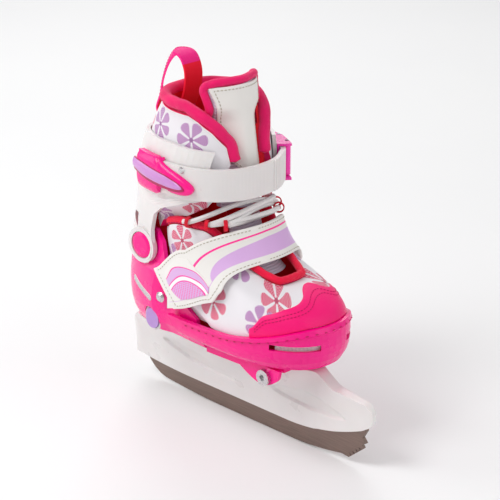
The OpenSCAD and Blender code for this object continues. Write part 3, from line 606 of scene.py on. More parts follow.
# Flowers of six petals, each round a centre with its own axes in the surface
def flower_group():
    tree = bpy.data.node_groups.new("flower", "ShaderNodeTree")
    for n in ("Place", "Centre", "Across", "Up"):
        tree.interface.new_socket(n, in_out="INPUT", socket_type="NodeSocketVector")
    tree.interface.new_socket("Radius", in_out="INPUT", socket_type="NodeSocketFloat")
    for n in ("Petal", "Line", "Eye"):
        tree.interface.new_socket(n, in_out="OUTPUT", socket_type="NodeSocketFloat")
    g = Graph.__new__(Graph)
    g.tree = tree
    source = tree.nodes.new("NodeGroupInput")
    result = tree.nodes.new("NodeGroupOutput")

    def vec(op, a, b):
        n = g.node("VectorMath")
        n.operation = op
        tree.links.new(a, n.inputs[0])
        tree.links.new(b, n.inputs[1])
        return n.outputs["Value"] if op == "DOT_PRODUCT" else n.outputs[0]
    rel = vec("SUBTRACT", source.outputs["Place"], source.outputs["Centre"])
    x = vec("DOT_PRODUCT", rel, source.outputs["Across"])
    y = vec("DOT_PRODUCT", rel, source.outputs["Up"])
    far = g.below(vec("DOT_PRODUCT", rel, rel), 700)
    r = g.math("SQRT", g.add(g.mul(x, x), g.mul(y, y)))
    share = g.math("DIVIDE", r, source.outputs["Radius"])
    turn = g.mul(g.math("ARCTAN2", y, x), 6 / (2 * pi))
    a = g.math("ABSOLUTE", g.math("SUBTRACT", g.math("FRACT", g.add(turn, 10)), 0.5))
    # A petal is narrow at the centre, widest near its rounded outer end
    wide = g.mul(g.math("POWER", g.math("MINIMUM", share, 1.0), 0.3), 0.42)
    corner = g.mul(g.math("POWER", g.math("DIVIDE", a, wide), 5.0), 0.2)
    edge = g.math("SUBTRACT", g.math("SUBTRACT", 1.0, corner), g.mul(g.mul(a, a), 0.35))
    petal = g.mul(g.above(share, 0.1), g.below(share, edge))
    petal = g.mul(petal, g.below(a, wide))
    petal = g.mul(petal, far)
    zig = g.math("PINGPONG", g.mul(g.add(turn, 10), 4), 0.5)
    line = g.math("FRACT", g.add(g.mul(share, 9.5), g.mul(zig, 0.9)))
    line = g.below(line, 0.4)
    eye = g.mul(g.below(share, 0.13), far)
    tree.links.new(petal, result.inputs["Petal"])
    tree.links.new(line, result.inputs["Line"])
    tree.links.new(eye, result.inputs["Eye"])
    return tree


FLOWER = flower_group()


def flowers(name, places):
    """White woven fabric printed with flowers; each place is turn, height, radius, twist, colour."""
    g = Graph(name, 0.8, sheen=0.25, spec=0.3)
    rest = g.attr("rest")
    h = weave_height(g, 0.0011)
    p = g.place()
    # Painted shade: the white ground is darker in the weave's low points between threads.
    ground = g.mix(h, rgb(226, 222, 228), rgb(244, 241, 244))
    for t, z, radius, twist, c in places:
        n = g.node("Group")
        n.node_tree = FLOWER
        centre = skin(t, z, 0)
        out = outward(t, z)
        across = UP.cross(out).normalized()
        upward = out.cross(across)
        k, s = cos(twist), sin(twist)
        g.put(n.inputs["Place"], rest)
        n.inputs["Centre"].default_value = centre
        n.inputs["Across"].default_value = across * k + upward * s
        n.inputs["Up"].default_value = upward * k - across * s
        n.inputs["Radius"].default_value = radius
        pale = g.mix(0.5, c, (1, 1, 1, 1))
        ink = g.mix(n.outputs["Line"], c, pale)
        ground = g.mix(n.outputs["Petal"], ground, ink)
        ground = g.mix(g.mul(n.outputs["Eye"], 0.9), ground, shade(c, 0.7))
    g.colour(ground)
    g.bump(g.add(h, g.mul(g.noise(p, 240, 3), 0.6)), 0.00012)
    return g.mat


def both_sides(near, single):
    """The near side's flowers, the single ones and the near ones mirrored to the far side."""
    return near + single + [(1 - t, z, radius, twist, c) for t, z, radius, twist, c in near]


M["vamp_print"] = flowers("vamp_print", both_sides(
    [(0.247, 119, 15, 0.25, ROSE), (0.398, 130, 11.5, 0.5, ROSE), (0.325, 113, 13.5, 0.1, PLUM),
     (0.391, 149, 11, 0.4, PLUM), (0.242, 158, 13, 0.3, ROSE)],
    [(0.199, 138, 11, 0.0, PLUM), (0.205, 112, 10, 0.5, ROSE), (0.69, 150, 12, 0.8, PLUM)]))
M["collar_print"] = flowers("collar_print", both_sides(
    [(0.186, 250, 13, 0.2, PLUM), (0.300, 245, 14, 0.6, PLUM), (0.242, 164, 13, 0.3, ROSE),
     (0.29, 192, 12, 0.4, ROSE), (0.08, 248, 13, 0.5, ROSE)],
    [(0.199, 176, 11, 0.0, PLUM), (0.0, 256, 13, 0.1, PLUM)]))


def strap_leather():
    """White leather; its printed lilac band widens towards the far side below a thin pink line."""
    g = Graph("strap_leather", 0.4, spec=0.45, coat=0.05)
    base = leather_base(g, LEATHER)
    t, v, _ = g.split(g.attr("tv"))
    s = g.math("POWER", g.span(t, 0.278, 0.5), 0.55)
    top = g.add(-0.62, g.mul(s, 0.9))
    band = g.mul(g.below(v, top), g.above(v, -0.64))
    rise = g.add(0.12, g.mul(g.math("POWER", g.span(t, 0.25, 0.5), 0.6), 0.48))
    line = g.below(g.math("ABSOLUTE", g.math("SUBTRACT", v, rise)), 0.05)
    line = g.mul(line, g.above(t, 0.255))
    base = g.mix(g.mul(band, 0.95), base, LILAC)
    g.colour(g.mix(line, base, rgb(255, 40, 150)))
    g.rough(g.clouds(g.place(), 70, 4, 0.34, 0.52))
    return g.mat


def badge_print():
    """Nested arches: lilac ground, pink outlines, a white arch and a dotted centre."""
    g = Graph("badge_print", 0.38, spec=0.45, coat=0.1)
    base = leather_base(g, rgb(222, 176, 226))
    a, b, _ = g.split(g.attr("tv"))
    x = g.mul(g.add(a, 0.45), 8.6)
    y = g.mul(g.add(b, 0.75), 8.2)
    r = g.math("SQRT", g.add(g.mul(x, x), g.mul(y, y)))

    def ring(lo, hi):
        return g.mul(g.above(r, lo), g.below(r, hi))
    base = g.mix(ring(6.6, 8.2), base, rgb(248, 244, 248))
    base = g.mix(ring(12.3, 40), base, LEATHER)
    for lo in (6.2, 8.2, 11.9):
        base = g.mix(ring(lo, lo + 0.5), base, rgb(244, 60, 165))
    dots = g.mul(g.sine(g.mul(x, 5.2)), g.sine(g.mul(y, 5.2)))
    base = g.mix(g.mul(g.above(dots, 0.35), ring(0, 6)), base, rgb(240, 60, 160))
    g.colour(base)
    return g.mat


def ribbed(name, c, pitch=0.0026):
    """Fabric with raised ribs that run across, on a fine weave; the grooves between ribs get painted shade.
    """
    g = Graph(name, 0.78, sheen=0.3, spec=0.3)
    _, v, _ = g.split(g.uv())
    rib = g.math("ABSOLUTE", g.sine(g.mul(v, pi / pitch)))
    h = weave_height(g, 0.0008)
    # Painted shade: the grooves between ribs are darker than the crests.
    base = g.mix(rib, shade(c, 0.78), shade(c, 1.04))
    g.colour(g.mix(g.mul(g.noise(g.place(), 40, 4), 0.35), base, shade(c, 0.9)))
    g.bump(g.add(g.mul(rib, 2.2), h), 0.00022)
    return g.mat


def braided(name, c):
    """Round braid: two sets of strands cross over round the cord; the gaps between strands get painted
    shade.
    """
    g = Graph(name, 0.7, sheen=0.3, spec=0.3)
    u, v, _ = g.split(g.uv())
    turn = g.mul(u, 2 * pi * 5)
    along = g.mul(v, 2 * pi / 0.0032)
    a = g.math("ABSOLUTE", g.sine(g.add(turn, along)))
    b = g.math("ABSOLUTE", g.sine(g.math("SUBTRACT", turn, along)))
    h = g.math("MAXIMUM", a, b)
    # Painted shade: the low gaps between strands are darker than the strand tops.
    g.colour(g.mix(h, shade(c, 0.78), shade(c, 1.03)))
    g.bump(h, 0.0003)
    return g.mat


def holes(name, c):
    """Woven mesh whose small square holes are painted dark, as painted shade inside the holes."""
    g = Graph(name, 0.6, spec=0.3)
    u, v, _ = g.split(g.uv())
    k = 2 * pi / 0.0021
    a = g.mul(g.sine(g.mul(u, k)), g.sine(g.mul(v, k)))
    h = g.below(g.math("ABSOLUTE", a), 0.45)
    # Painted shade: the holes are darkened to a third of the mesh's colour.
    g.colour(g.mix(h, shade(c, 0.32), c))
    g.bump(h, 0.0003)
    return g.mat


M["strap_leather"] = strap_leather()
M["badge_print"] = badge_print()
M["tongue_rib"] = ribbed("tongue_rib", rgb(222, 208, 228))
M["lace_cord"] = braided("lace_cord", rgb(240, 236, 236))
M["mesh_cloth"] = holes("mesh_cloth", rgb(245, 240, 242))

# ------------ hard pieces keep their CAD shape
HARD = {
    "steel": ["blade"],
    "bright_metal": ["chassis_bolts", "tab_rivets", "strap_rivets", "clamp_rivet", "buckle_rivets"],
    "zinc": ["holder_screws", "button_spring", "pivot_pins", "pawl_pin"],
    "white_plastic": ["blade_holder", "button_bezel", "size_rack", "size_latch", "cuff", "ratchet_strap"],
    "pink_plastic": ["heel_shell", "toe_shell", "pivot_caps", "strap_clamp"],
    "magenta_plastic": ["buckle_base", "buckle_lever", "pawl"],
    "button_plastic": ["size_button"],
    "lilac_plastic": ["clamp_insert"],
    "black_plastic": ["lever_pin"],
    "nylon": ["pivot_bushings"]}
for node, finish in [(node, finish) for finish, nodes in HARD.items() for node in nodes]:
    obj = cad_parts[node]
    if not obj.material_slots:
        obj.data.materials.append(M[finish])
    for s in obj.material_slots:
        s.material = M[finish]
    smooth(obj.data)
    obj.data.set_sharp_from_angle(angle=radians(9 if node == "ratchet_strap" else 32))
    weight = obj.modifiers.new("normals", "WEIGHTED_NORMAL")
    weight.keep_sharp = True


# ------------ vamp, cap and throat
def heel_front(z):
    """Front edge of the heel shell, which the vamp tucks under."""
    return lookup(z, [[66, -12], [96, -14], [108, -34], [120, -46], [134, -57], [148, -59], [158, -69]])


def vamp_top(t):
    """The throat: low over the instep, high beside the ankle."""
    return 136 + 35 * ease((abs(t - 0.5) - 0.04) / 0.15) - 12 * ease((abs(t - 0.5) - 0.25) / 0.08)


def vamp_low(t):
    return lerp(95, 104, ease((0.22 - abs(t - 0.5)) / 0.05))


def vamp_offset(x, z):
    return lerp(-6.3, -0.8, ease((x - heel_front(z) - 8) / 12))


def vamp_at(t, r, wall, drop):
    z = lerp(vamp_low(t), vamp_top(t), r)
    puff = 0.9 * hump(r) ** 0.5
    return skin(t, z, vamp_offset(skin(t, z).x, z) + puff * (wall == 0) - wall) - UP * drop


vamp = panel("vamp_upper", "toe_section", ["vamp_print", "red_lining", "red_lining"],
             span(0.192, 0.808, 150), span(0, 1, 26),
             lambda t, r: vamp_at(t, r, 0, 0), lambda t, r: vamp_at(t, r, 3.6, 1.6), 0.9)
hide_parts("vamp")


def toe_rim(f):
    """Upper edge of the toe shell from -1, near, to 1, far."""
    return 94 + 19 * ease((1 - abs(f)) * 1.15)


CAP = [[0, 134.5], [.02, 134], [.038, 131], [.071, 128], [.127, 125], [.189, 119], [.219, 106]]


def cap_top(t):
    return sum(lookup(abs(t + k * 0.006 - 0.52), CAP) for k in (-2, -1, 0, 1, 2)) / 5


def cap_at(t, r, d):
    return skin(t, lerp(toe_rim((t - 0.5) / 0.3) + 0.6, cap_top(t), r), d)


cap = panel("toe_cap_leather", "toe_section", ["pink_leather"], span(0.302, 0.738, 110), span(0, 1, 16),
            lambda t, r: cap_at(t, r, 1.5 - 0.5 * ease((r - 0.85) / 0.15)),
            lambda t, r: cap_at(t, r, -0.3), 0.5)
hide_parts("toe_cap")
rows = []
for inset in (2.6, 4.6):
    rows.append([skin(t, cap_top(t) - inset, 1.55) for t in span(0.312, 0.728, 120)])
cap_thread = stitches("toe_cap_stitching", "toe_section", "dark_thread", rows, 3.0, 2.0, 0.42)

edge_t = span(0.196, 0.804, 160)
throat_edge = [vamp_at(t, 1, 1.8, 0) - UP * 0.8 for t in edge_t]
throat_path = beside(throat_edge, [outward(t, vamp_top(t)) for t in edge_t], 3.9)
throat = round_tube("throat_roll", "toe_section", "red_binding", throat_path,
                    lambda a, s: 3.1 + 0.12 * sin(s * 210) * (sin(a) > -0.2), 1.2)
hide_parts("throat_binding")
seam = [p + outward(t, vamp_top(t)) * 2.7 - UP * 1.9 for p, t in zip(throat_path, edge_t)]
throat_thread = stitches("throat_stitching", "toe_section", "dark_thread", [seam], 3.4, 2.2, 0.35)

vent = panel("vent_cloth", "toe_section", ["mesh_cloth"], span(0.355, 0.645, 60), span(91.5, 102.5, 6),
             lambda t, z: skin(t, z, -0.4 + 0.3 * hump((z - 91.5) / 11)), lambda t, z: skin(t, z, -1.4), 0)
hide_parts("vent_mesh")

marks = [skin(0.5 + f * (0.5 - turn_at(-40, toe_rim(f) - 3)), toe_rim(f) - 3.4, 4.35)
         for f in span(-0.93, 0.93, 160)]
rim_marks = stitches("toe_rim_marks", "toe_section", "dark_thread", [marks], 8.0, 2.6, 0.55)

# ------------ laces
ROWS = [[0.285, 178], [0.338, 178], [0.39, 178.5]]


def lace_run(ra, rb, start, d, rise=7):
    """One lace across the boot from row ra to row rb, arching by rise."""
    out = []
    for s in span(-1, 1, 22)[:-1] if (ra, rb) != (1, 0) else span(-1, 1, 22):
        a, b, k = ROWS[ra], ROWS[rb], (1 + s) / 2
        ta = a[0] if start < 0 else 1 - a[0]
        tb = 1 - b[0] if start < 0 else b[0]
        arch = cos(pi / 2 * s)
        out.append(skin(lerp(ta, tb, k), lerp(a[1], b[1], k) + rise * arch, lerp(LACE_OUT, d, arch)))
    return out


points = [skin(0.268, 177.5, LACE_OUT)] + lace_run(0, 1, -1, -4.4, 14) + lace_run(1, 2, 1, -4.4, 6)
points += lace_run(2, 2, -1, -4.4, -1) + lace_run(2, 1, 1, -0.1, 2.5) + lace_run(1, 0, -1, -0.1, 11)
points.append(skin(0.732, 177.5, LACE_OUT))
lace = round_tube("lace_cord", "toe_section", "lace_cord", points,
                  lambda a, s: 2.0 + 0.06 * sin(6 * a), 0.8)
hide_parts("lace")


def webbing_shape(a, s):
    """Flat band with rounded edges."""
    return signed_pow(cos(a), 0.6) * 1.6, signed_pow(sin(a), 0.6) * 0.5


verts, faces, uvs = [], [], []
for row, z in ROWS:
    for t in (row, 1 - row):
        p, q = skin(t, z, LACE_OUT), outward(t, z)
        q = Vector((q.x, q.y, 0)).normalized()
        ring = [p + (q * cos(a) + UP * sin(a)) * 4.1 for a in span(0, 2 * pi, 30)]
        axis = UP.cross(q)
        v, f, w = sweep(ring, webbing_shape, 0.1, lambda i, r=ring, c=p: (r[i] - c).normalized())
        base = len(verts)
        verts += v
        uvs += w
        faces += [tuple(k + base for k in face) for face in f]
loops = piece("lace_webbing_loops", "toe_section", ["red_webbing"], verts, faces, uvs)
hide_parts("lace_loops")


# ------------ instep strap
def strap_height(t, v):
    """Middle line of the instep strap, dipping at its near end, plus v across it."""
    return 163 - 25 * (abs(t - 0.5) / 0.255) ** 2.5 + 0.95 * v - 8.6 * ease((0.262 - t) / 0.06)


def strap_lift(t):
    return lerp(4.7, 5, ease((abs(t - 0.5) - 0.14) / 0.14))


def strap_at(t, v, d):
    """Point of the strap; v runs from -1 to 1 across it and its near end is cut aslant."""
    near = max(0.0, 1 - (t - STRAP_NEAR) / 0.274)
    return skin(t - 0.0135 * v * near, strap_height(t, v * STRAP_HALF), strap_lift(t) + d)


strap = panel("instep_strap_leather", None, ["strap_leather", "white_leather", "white_leather"],
              span(STRAP_NEAR, STRAP_FAR, 150), span(-1, 1, 12),
              lambda t, v: strap_at(t, v, 2.4 + 0.25 * (1 - v * v)),
              lambda t, v: strap_at(t, v, 0), 0.7)
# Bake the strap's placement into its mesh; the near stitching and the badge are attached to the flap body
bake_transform(strap)
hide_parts("instep_strap", "strap_flap")
near = [[strap_at(t, v, 2.5) for t in span(0.203, 0.462, 90)] for v in (-0.86, 0.86)]
near.append([strap_at(0.2025, v, 2.5) for v in span(-0.84, 0.84, 16)])
near_thread = stitches("strap_stitching_near", "flap", "thread", near, 3.2, 2.2, 0.4)
far = [[strap_at(t, v, 2.5) for t in span(0.478, 0.792, 90)] for v in (-0.86, 0.86)]
far_thread = stitches("strap_stitching_far", "toe_section", "thread", far, 3.2, 2.2, 0.4)


def badge_at(a, b, d):
    x, y = a * sqrt(1 - 0.32 * b * b), b * sqrt(1 - 0.32 * a * a)
    t, v = 0.2355 + 0.0265 * x, 0.72 * y
    return strap_at(t, v, 2.5 + d)


badge = panel("strap_badge_print", "flap", ["badge_print"], span(-1, 1, 24), span(-1, 1, 18),
              lambda a, b: badge_at(a, b, 0.7 + 0.35 * (1 - max(a * a, b * b))),
              lambda a, b: badge_at(a, b, -0.1), 0.35)
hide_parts("strap_badge")
tab = panel("strap_tab_leather", "toe_section", ["white_leather"], span(STRAP_NEAR, 0.238, 24),
            span(-1.3, 0.5, 14), lambda t, v: skin(t, strap_height(t, v * STRAP_HALF), 4.7),
            lambda t, v: skin(t, strap_height(t, v * STRAP_HALF), 3.3), 0.5)
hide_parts("strap_tab")


# ------------ lower boot, collar and insole
def split_top(x):
    """The lower lining ends on an arc round the ankle pins."""
    return ANKLE_Z + sqrt(max(46 ** 2 - (x - ANKLE_X) ** 2, 100))


def liner_offset(x):
    return lerp(-5.4, -12, ease((x + 84) / 12))


def liner_at(f, r, wall):
    t = f * turn_at(-40, 130)
    x = skin(t, 150).x
    return skin(t, lerp(79.6, split_top(x), r), liner_offset(x) - wall)


lower = panel("boot_lower_lining", "skate", ["red_lining"], span(-1, 1, 90), span(0, 1, 24),
              *walls(liner_at, 0, 4), 0.8)
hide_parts("liner_heel")


def collar_front(z):
    """Front edge of the collar beside the tongue."""
    return lookup(z, [[165, -30], [185, -14], [200, -2], [226, 2], [240, -1], [252, -9], [260, -19],
                      [266, -34]])


def collar_top(f):
    return 266 - 3 * ease(abs(f))


def collar_low(x):
    """Lower edge of the collar: an arc round the ankle pins that climbs in front."""
    d = x - ANKLE_X
    arc = sqrt(max(48 ** 2 - d * d, 100))
    return ANKLE_Z + (max(arc, d * tan(radians(41.5))) if d > 0 else arc)


def collar_at(f, r, wall):
    """Point of the collar; it tucks behind the cuff below and is padded above."""
    ta = f * turn_at(collar_front(190), 190)
    x = skin(ta, 190).x
    low = collar_low(x) - 16 * ease((x + 70) / 20)
    z = lerp(low, collar_top(f), r)
    t = f * turn_at(collar_front(z), z)
    tuck = -6.5 * ease((collar_low(x) + 4 - z) / 14) * ease((x + 74) / 16)
    puff = 1.3 * hump((z - 236) / 28) * (wall == 0)
    return skin(t, z, 1 + tuck + puff - wall)


collar = panel("boot_collar", None, ["collar_print", "red_lining", "pink_padding"], span(-1, 1, 150),
               span(0, 1, 44), *walls(collar_at, 0, 5), 1.0)
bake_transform(collar)
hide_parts("liner_collar")

side = [(z, -1.0) for z in span(228, 262, 8)]
top = [(265.0, -cos(radians(7.5 * k))) for k in range(1, 24)]
ring = side + top + [(z, 1.0) for z in span(262, 228, 8)]
front = turn_at(collar_front(265), 265)
turns = [f * (turn_at(collar_front(z), z) if abs(f) == 1 else front) for z, f in ring]
edge = [skin(t, z, 1 - 2.5) for t, (z, f) in zip(turns, ring)]
collar_path = curve_through(beside(edge, [outward(t, z) for t, (z, f) in zip(turns, ring)], 4.4), 5)
roll = round_tube("collar_roll", "cuff_section", "pink_padding", collar_path,
                  lambda a, s: 4.7 * (1 + 0.03 * sin(s * 95) + 0.02 * sin(s * 37 + 1))
                  - 0.5 * exp(-((a - pi * 1.5) / 0.3) ** 2), 2.2)
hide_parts("collar_binding")


def sole_inset(x):
    """Gap between the boot surface and the insole's edge."""
    return lerp(12, 18.5, ease((x + 88) / 12)) if x < -58 else lerp(18.5, 11, ease((x + 24) / 12))


def sole_at(a, r, z):
    p = skin(a, 82, -sole_inset(skin(a, 82).x))
    centre = Vector((-10, 0, 82))
    q = centre.lerp(p, r)
    return Vector((q.x, q.y, z))


verts, faces = [], []
RINGS = [(0.02, 82.5), (0.5, 82.4), (0.9, 82.6), (0.985, 82.4), (1.0, 81.6), (1.0, 80.0), (0.98, 79.6),
         (0.02, 79.6)]
for r, z in RINGS:
    verts += [sole_at(k / 72, r, z) for k in range(72)]
for j in range(len(RINGS)):
    for k in range(72):
        a, b = j * 72 + k, j * 72 + (k + 1) % 72
        c, d = ((j + 1) % len(RINGS)) * 72 + (k + 1) % 72, ((j + 1) % len(RINGS)) * 72 + k
        faces.append((a, b, c, d))
insole = piece("insole_pad", "skate", ["foam"], verts, faces, [(v.x * MM, v.y * MM) for v in verts])
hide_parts("insole")


# ------------ tongue
def tongue_half(z):
    """Half the tongue's width."""
    return lookup(z, [[197, 19], [230, 22], [262, 23], [274, 24.5], [284, 27.5], [289, 25]])


def tongue_at(u, z, d):
    """Point of the tongue u sideways and d below its face."""
    tuck = 6 * ease((abs(u) - 3) / 16) * (1 - ease((z - 256) / 14))
    return Vector((level(z, 3) - d - 23 * (u / 34) ** 2 - tuck, u, z))


def tongue_pad(k, z, d, inset, crown=0.0):
    u = k * (tongue_half(z) - inset)
    return tongue_at(u, z, d - crown * (1 - k * k) * hump((z - 186) / 98) ** 0.5)


def tongue_in(z):
    """The tongue slips in behind the laces at its lower end."""
    return 5.5 * ease((204 - z) / 16)


tongue = panel("tongue_pad", "cuff_section", ["tongue_rib", "red_lining", "lilac_cloth"], span(-1, 1, 48),
               span(186, 284, 66), lambda k, z: tongue_pad(k, z, 2.9 + tongue_in(z), 1, 0.6),
               lambda k, z: tongue_pad(k, z, 9.2 + tongue_in(z), 1, -0.4), 2.0)
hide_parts("tongue")


def patch_at(k, r, d):
    low = 216 + 15 * abs(k) ** 2.6
    z = lerp(low, 286.5 - 2 * k * k, (r + 1) / 2)
    u = k * (tongue_half(min(z, 284)) - lerp(4.5, 1.2, ease((z - 236) / 40)))
    return tongue_at(u, z, d - 0.7 * (1 - k * k))


patch = panel("tongue_patch_leather", "cuff_section", ["white_leather"], span(-1, 1, 40), span(-1, 1, 44),
              *walls(patch_at, 0.9, 2.4), 0.6)
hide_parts("tongue_patch")
rim = [patch_at(-0.91, r, 0.75) for r in span(-0.93, 0.93, 40)]
rim += [patch_at(k, 0.93, 0.75) for k in span(-0.9, 0.9, 30)]
rim += [patch_at(0.91, r, 0.75) for r in span(0.93, -0.93, 40)]
rim += [patch_at(k, -0.93, 0.75) for k in span(0.9, -0.9, 30)]
patch_thread = stitches("tongue_patch_stitching", "cuff_section", "thread", [rim], 3.0, 2.1, 0.4)

side = [(-1.0, z) for z in span(244, 268, 6)]
arch = [(-signed_pow(cos(radians(a)), 0.4), 268 + 20 * sin(radians(a)) ** 0.4)
        for a in range(10, 180, 10)]
rim = side + arch + [(1.0, z) for z in span(268, 244, 6)]
path = [tongue_at(k * (tongue_half(min(z, 284)) + 1.6), z + 1, 4.6) for k, z in rim]
binding = round_tube("tongue_roll", "cuff_section", "pink_padding", curve_through(path, 5),
                     lambda a, s: 3.4 * (1 + 0.03 * sin(s * 80)), 1.5)
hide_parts("tongue_binding")

base = panel("tongue_base_pad", "skate", ["tongue_rib", "red_lining", "lilac_cloth"], span(0.41, 0.59, 40),
             span(0, 1, 30), lambda t, r: skin(t, lerp(141, 181, r), -9.5) - UP * 4,
             lambda t, r: skin(t, lerp(141, 181, r), -14.5) - UP * 7, 1.6)
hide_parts("tongue_base")

# ------------ pull loop
LOOP = [[-92, 242.5], [-98, 250], [-99, 262], [-95, 276], [-89, 288], [-82, 296], [-75, 298.5], [-67, 296],
        [-62, 287], [-61.5, 276], [-65, 263], [-70.5, 252]]
path = curve_through([Vector((x, 0, z)) for x, z in LOOP], 8)
count = len(path)


def loop_at(i, v, d):
    """Point of the pull loop, whose front strand twists as it rises."""
    a, b = path[max(0, i - 1)], path[min(count - 1, i + 1)]
    n = Vector((a.z - b.z, 0, b.x - a.x)).normalized()
    turn = radians(44) * ease(min((b.z - 243) / 22, (count * 0.55 - i) / 8))
    return path[i] + n * d + Vector((-sin(turn), cos(turn), 0)) * v * 9.2


loop = panel("pull_loop_webbing", "cuff_section", ["webbing", "red_webbing", "webbing"], list(range(count)),
             span(-1, 1, 8), *walls(loop_at, 0.95, -0.95), 0.5)
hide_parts("pull_loop")
for poly in loop.data.polygons:
    if poly.center.x > -0.068 and poly.center.z < 0.291:
        poly.material_index = {0: 1, 1: 0}.get(poly.material_index, 1)
rows = [[loop_at(i, v, 1.0) for i in range(count // 2 + 6)] for v in (-0.8, 0.8)]
loop_thread = stitches("pull_loop_stitching", "cuff_section", "dark_thread", rows, 3.0, 2.0, 0.35)


# ------------ vents in the heel shell
def heel_offset(x, z):
    """How far the heel shell's face stands from the boot surface."""
    return min(lerp(3, -2, ease((x + 66) / 16)), lerp(3, -0.6, ease((z - 124) / 8)))


for side, name in ((1, "near"), (-1, "far")):
    def slot_at(s, v, d, side=side):
        half = 2.7 * sqrt(max(0.02, 1 - max(0.0, (abs(s - 0.5) * 2 - 0.86) / 0.14) ** 2))
        t, z = lerp(0.108, 0.162, s), lerp(107.6, 98.2, s)
        p = skin(t, z, 0)
        q = skin(t, z + v * half, heel_offset(p.x, z) + d)
        return Vector((q.x, q.y * side, q.z))
    slot = panel("heel_vent_" + name, "skate", ["mesh_cloth"], span(0, 1, 30), span(-1, 1, 6),
                 *walls(slot_at, 0.12, -0.8), 0)

# ------------ blade holder
def lip(x):
    """Lower edge of the holder, which rises with the blade at both ends."""
    return (11 + 3.5 * unit((-60 - x) / 66.5) ** 2
            + 18 * unit((x - 50) / 82.5) ** 2) + BLADE_LOW


BLADE_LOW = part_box("blade_holder")[0].z * 1000 - 11
HOLDER_X0, HOLDER_X1 = -129.5, 138.5


def deck_half(x):
    if x < -84:
        return 31 - 23 * min(1.0, (-84 - x) / 45.5) ** 2
    return lerp(31, 5.5, ease((x - 40) / 46)) - 2.5 * unit((x - 100) / 38)


def deck_top(x):
    if x < -104:
        return 70 - 18 * ease((-104 - x) / 26)
    return 70 - 10.6 * ease((x - 78) / 24) - 3 * ease((x - 98) / 40)


def drop_depth(x, z):
    """Two long teardrop hollows on each side, round behind and pointed in front."""
    best = 0.0
    for x0, x1, z0, z1, wide in ((-84, -4, 49, 34, 9.5), (40, 112, 47, 38, 8.5)):
        s = (x - x0) / (x1 - x0)
        if 0 < s < 1:
            half = wide * sqrt(s) * (1 - s) ** 0.75 * 1.9
            best = max(best, ease((half - abs(z - lerp(z0, z1, s))) / 2.2 + 0.2))
    return best


def holder_at(x, k, side):
    """Side of the holder; k climbs from its lip, 0, to its deck, 0.92, and ends in the middle, 1."""
    nose = max(0.0, (x - 128) / 10.5)
    round_nose = 1 - sqrt(max(0.0, 1 - nose * nose))
    tail = max(0.0, (-120 - x) / 9.5)
    round_tail = 1 - sqrt(max(0.0, 1 - tail * tail))
    z1 = deck_top(x) - 7 * round_nose - 4 * round_tail
    z0 = min(lip(x), deck_top(x) - 6) + 9 * round_nose
    w0, w1 = min(6.5, deck_half(x)), deck_half(x)
    s = min(1.0, k / 0.92)
    z = lerp(z0, z1, s)
    w = lerp(w0, w1, s ** 1.8) * (1 - 0.45 * round_nose) - 2.4 * drop_depth(x, z)
    if k > 0.92:
        w *= 1 - (k - 0.92) / 0.08
    return Vector((x, side * w, z))


xs = [lerp(HOLDER_X0, HOLDER_X1, 0.5 - 0.5 * cos(pi * k / 220)) for k in range(221)]
ks = span(0, 0.92, 46) + [0.96, 1.0]
verts, faces = [], []
for x in xs:
    verts += [holder_at(x, k, -1) for k in ks] + [holder_at(x, k, 1) for k in ks[-2::-1]]
ring = 2 * len(ks) - 1
for j in range(len(xs) - 1):
    for k in range(ring):
        a, b = j * ring + k, j * ring + (k + 1) % ring
        faces.append((a, b, b + ring, a + ring))
faces.append(tuple(range(ring)))
faces.append(tuple((len(xs) - 1) * ring + k for k in range(ring)))
uvs = [(v.x * MM, v.z * MM) for v in verts]
holder = piece("holder_moulding", None, ["white_plastic"], verts, faces, uvs)
soften(holder, 0.9, 50)
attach(holder, "skate")
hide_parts("blade_holder")

# ------------ strap clamp
def clamp_half(s):
    """Half the clamp's height: a wide block behind, a rounded nose in front."""
    body = lerp(15.4, 9.8, ease((s - 0.36) / 0.16))
    return body * sqrt(max(0.003, 1 - max(0.0, (s - 0.5) / 0.5) ** 1.7))


def clamp_at(s, v, inner):
    t = lerp(CLAMP_BACK, CLAMP_FRONT, s)
    half = clamp_half(s)
    bend = lerp(lerp(0, 5, ease((0.62 - s) / 0.3)), -4, ease((s - 0.45) / 0.55)) if half < 13 else 0.0
    z = bend + v * half
    if inner:
        return skin(t, BELT_Z, 5.7 if abs(z) > 13.5 else CLAMP_D - 0.1) + UP * z
    roll = 1 - abs(v) ** 6
    end = ease(s / 0.05)
    return skin(t, BELT_Z, lerp(CLAMP_D + 0.7, CLAMP_D + 3.4, roll * end) + 0.9 * (1 - v * v)) + UP * z


clamp = panel("strap_clamp_cover", "cuff_section", ["pink_plastic"], span(0, 1, 70), span(-1, 1, 26),
              *walls(clamp_at, False, True), 0.5)
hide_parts("strap_clamp")


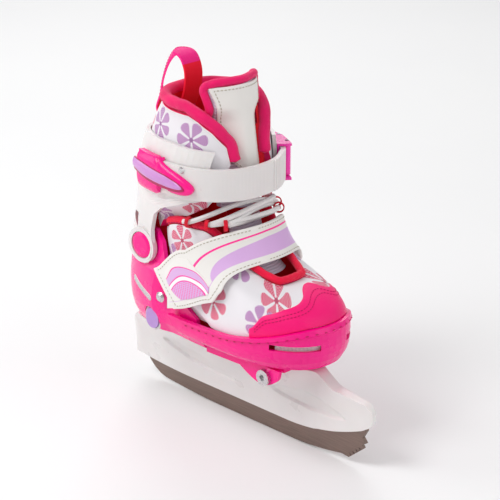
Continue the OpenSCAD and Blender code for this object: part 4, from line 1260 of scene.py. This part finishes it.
def insert_at(s, v, d, grow=0.0):
    """Point of the oval insert, which lies aslant on the clamp."""
    q = lerp(-0.01, 0.83 + 0.03 * grow, s)
    t = lerp(CLAMP_BACK, CLAMP_FRONT, q)
    taper = sqrt(max(0.004, 1 - max(0.0, (s - 0.3) / 0.7) ** 2.2))
    half = (5.4 + grow) * taper * (0.82 + 0.18 * ease(s / 0.3))
    z = lerp(4.2, -4.6, q) + v * half
    return skin(t, BELT_Z, CLAMP_D + 3.5 + d + 0.8 * (1 - v * v)) + UP * z


# Painted shade: a darker pink ring laid just round and below the insert stands for the shade in the gap
# round it.
well = panel("clamp_well_shade", "cuff_section", ["dark_plastic"], span(0, 1, 50), span(-1, 1, 14),
             lambda s, v: insert_at(s, v, 0.95, 1.0) - UP * 0.5,
             lambda s, v: insert_at(s, v, -0.4, 1.0) - UP * 0.5, 0.2)
insert = panel("clamp_insert_oval", "cuff_section", ["lilac_plastic"], span(0, 1, 50), span(-1, 1, 14),
               lambda s, v: insert_at(s, v, 1.5 - 0.5 * v * v), lambda s, v: insert_at(s, v, 0), 0.35)
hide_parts("clamp_insert")

# ------------ floor and light
floor_mesh = bpy.data.meshes.new("floor")
bm = bmesh.new()
bmesh.ops.create_grid(bm, x_segments=8, y_segments=8, size=3.0)
bm.to_mesh(floor_mesh)
bm.free()
floor = bpy.data.objects.new("floor", floor_mesh)
floor.location.z = -0.0005
scene.collection.objects.link(floor)
g = Graph("floor_paint", 0.7)
tone = g.noise(g.place(), 3, 3)
g.colour(g.mix(tone, (0.86, 0.86, 0.87, 1), (0.9, 0.9, 0.9, 1)))
floor_mesh.materials.append(g.mat)


def area(name, place, size, power, aim=TARGET):
    data = bpy.data.lights.new(name, "AREA")
    data.shape = "RECTANGLE"
    data.size = size
    data.size_y = size
    data.energy = power
    obj = bpy.data.objects.new(name, data)
    obj.location = place
    obj.rotation_euler = (aim - Vector(place)).to_track_quat("-Z", "Y").to_euler()
    scene.collection.objects.link(obj)


area("key", (-0.35, -1.1, 1.5), 0.7, 13)
area("fill", (1.5, 0.3, 0.9), 1.4, 6)
area("back", (-1.2, 1.0, 1.3), 1.0, 9)
area("side", (-1.3, -0.9, 0.7), 1.0, 5.5)
world = bpy.data.worlds.new("studio")
world.use_nodes = True
world.node_tree.nodes["Background"].inputs[0].default_value = (1, 1, 1, 1)
world.node_tree.nodes["Background"].inputs[1].default_value = 0.55
scene.world = world
scene.view_settings.view_transform = "Standard"
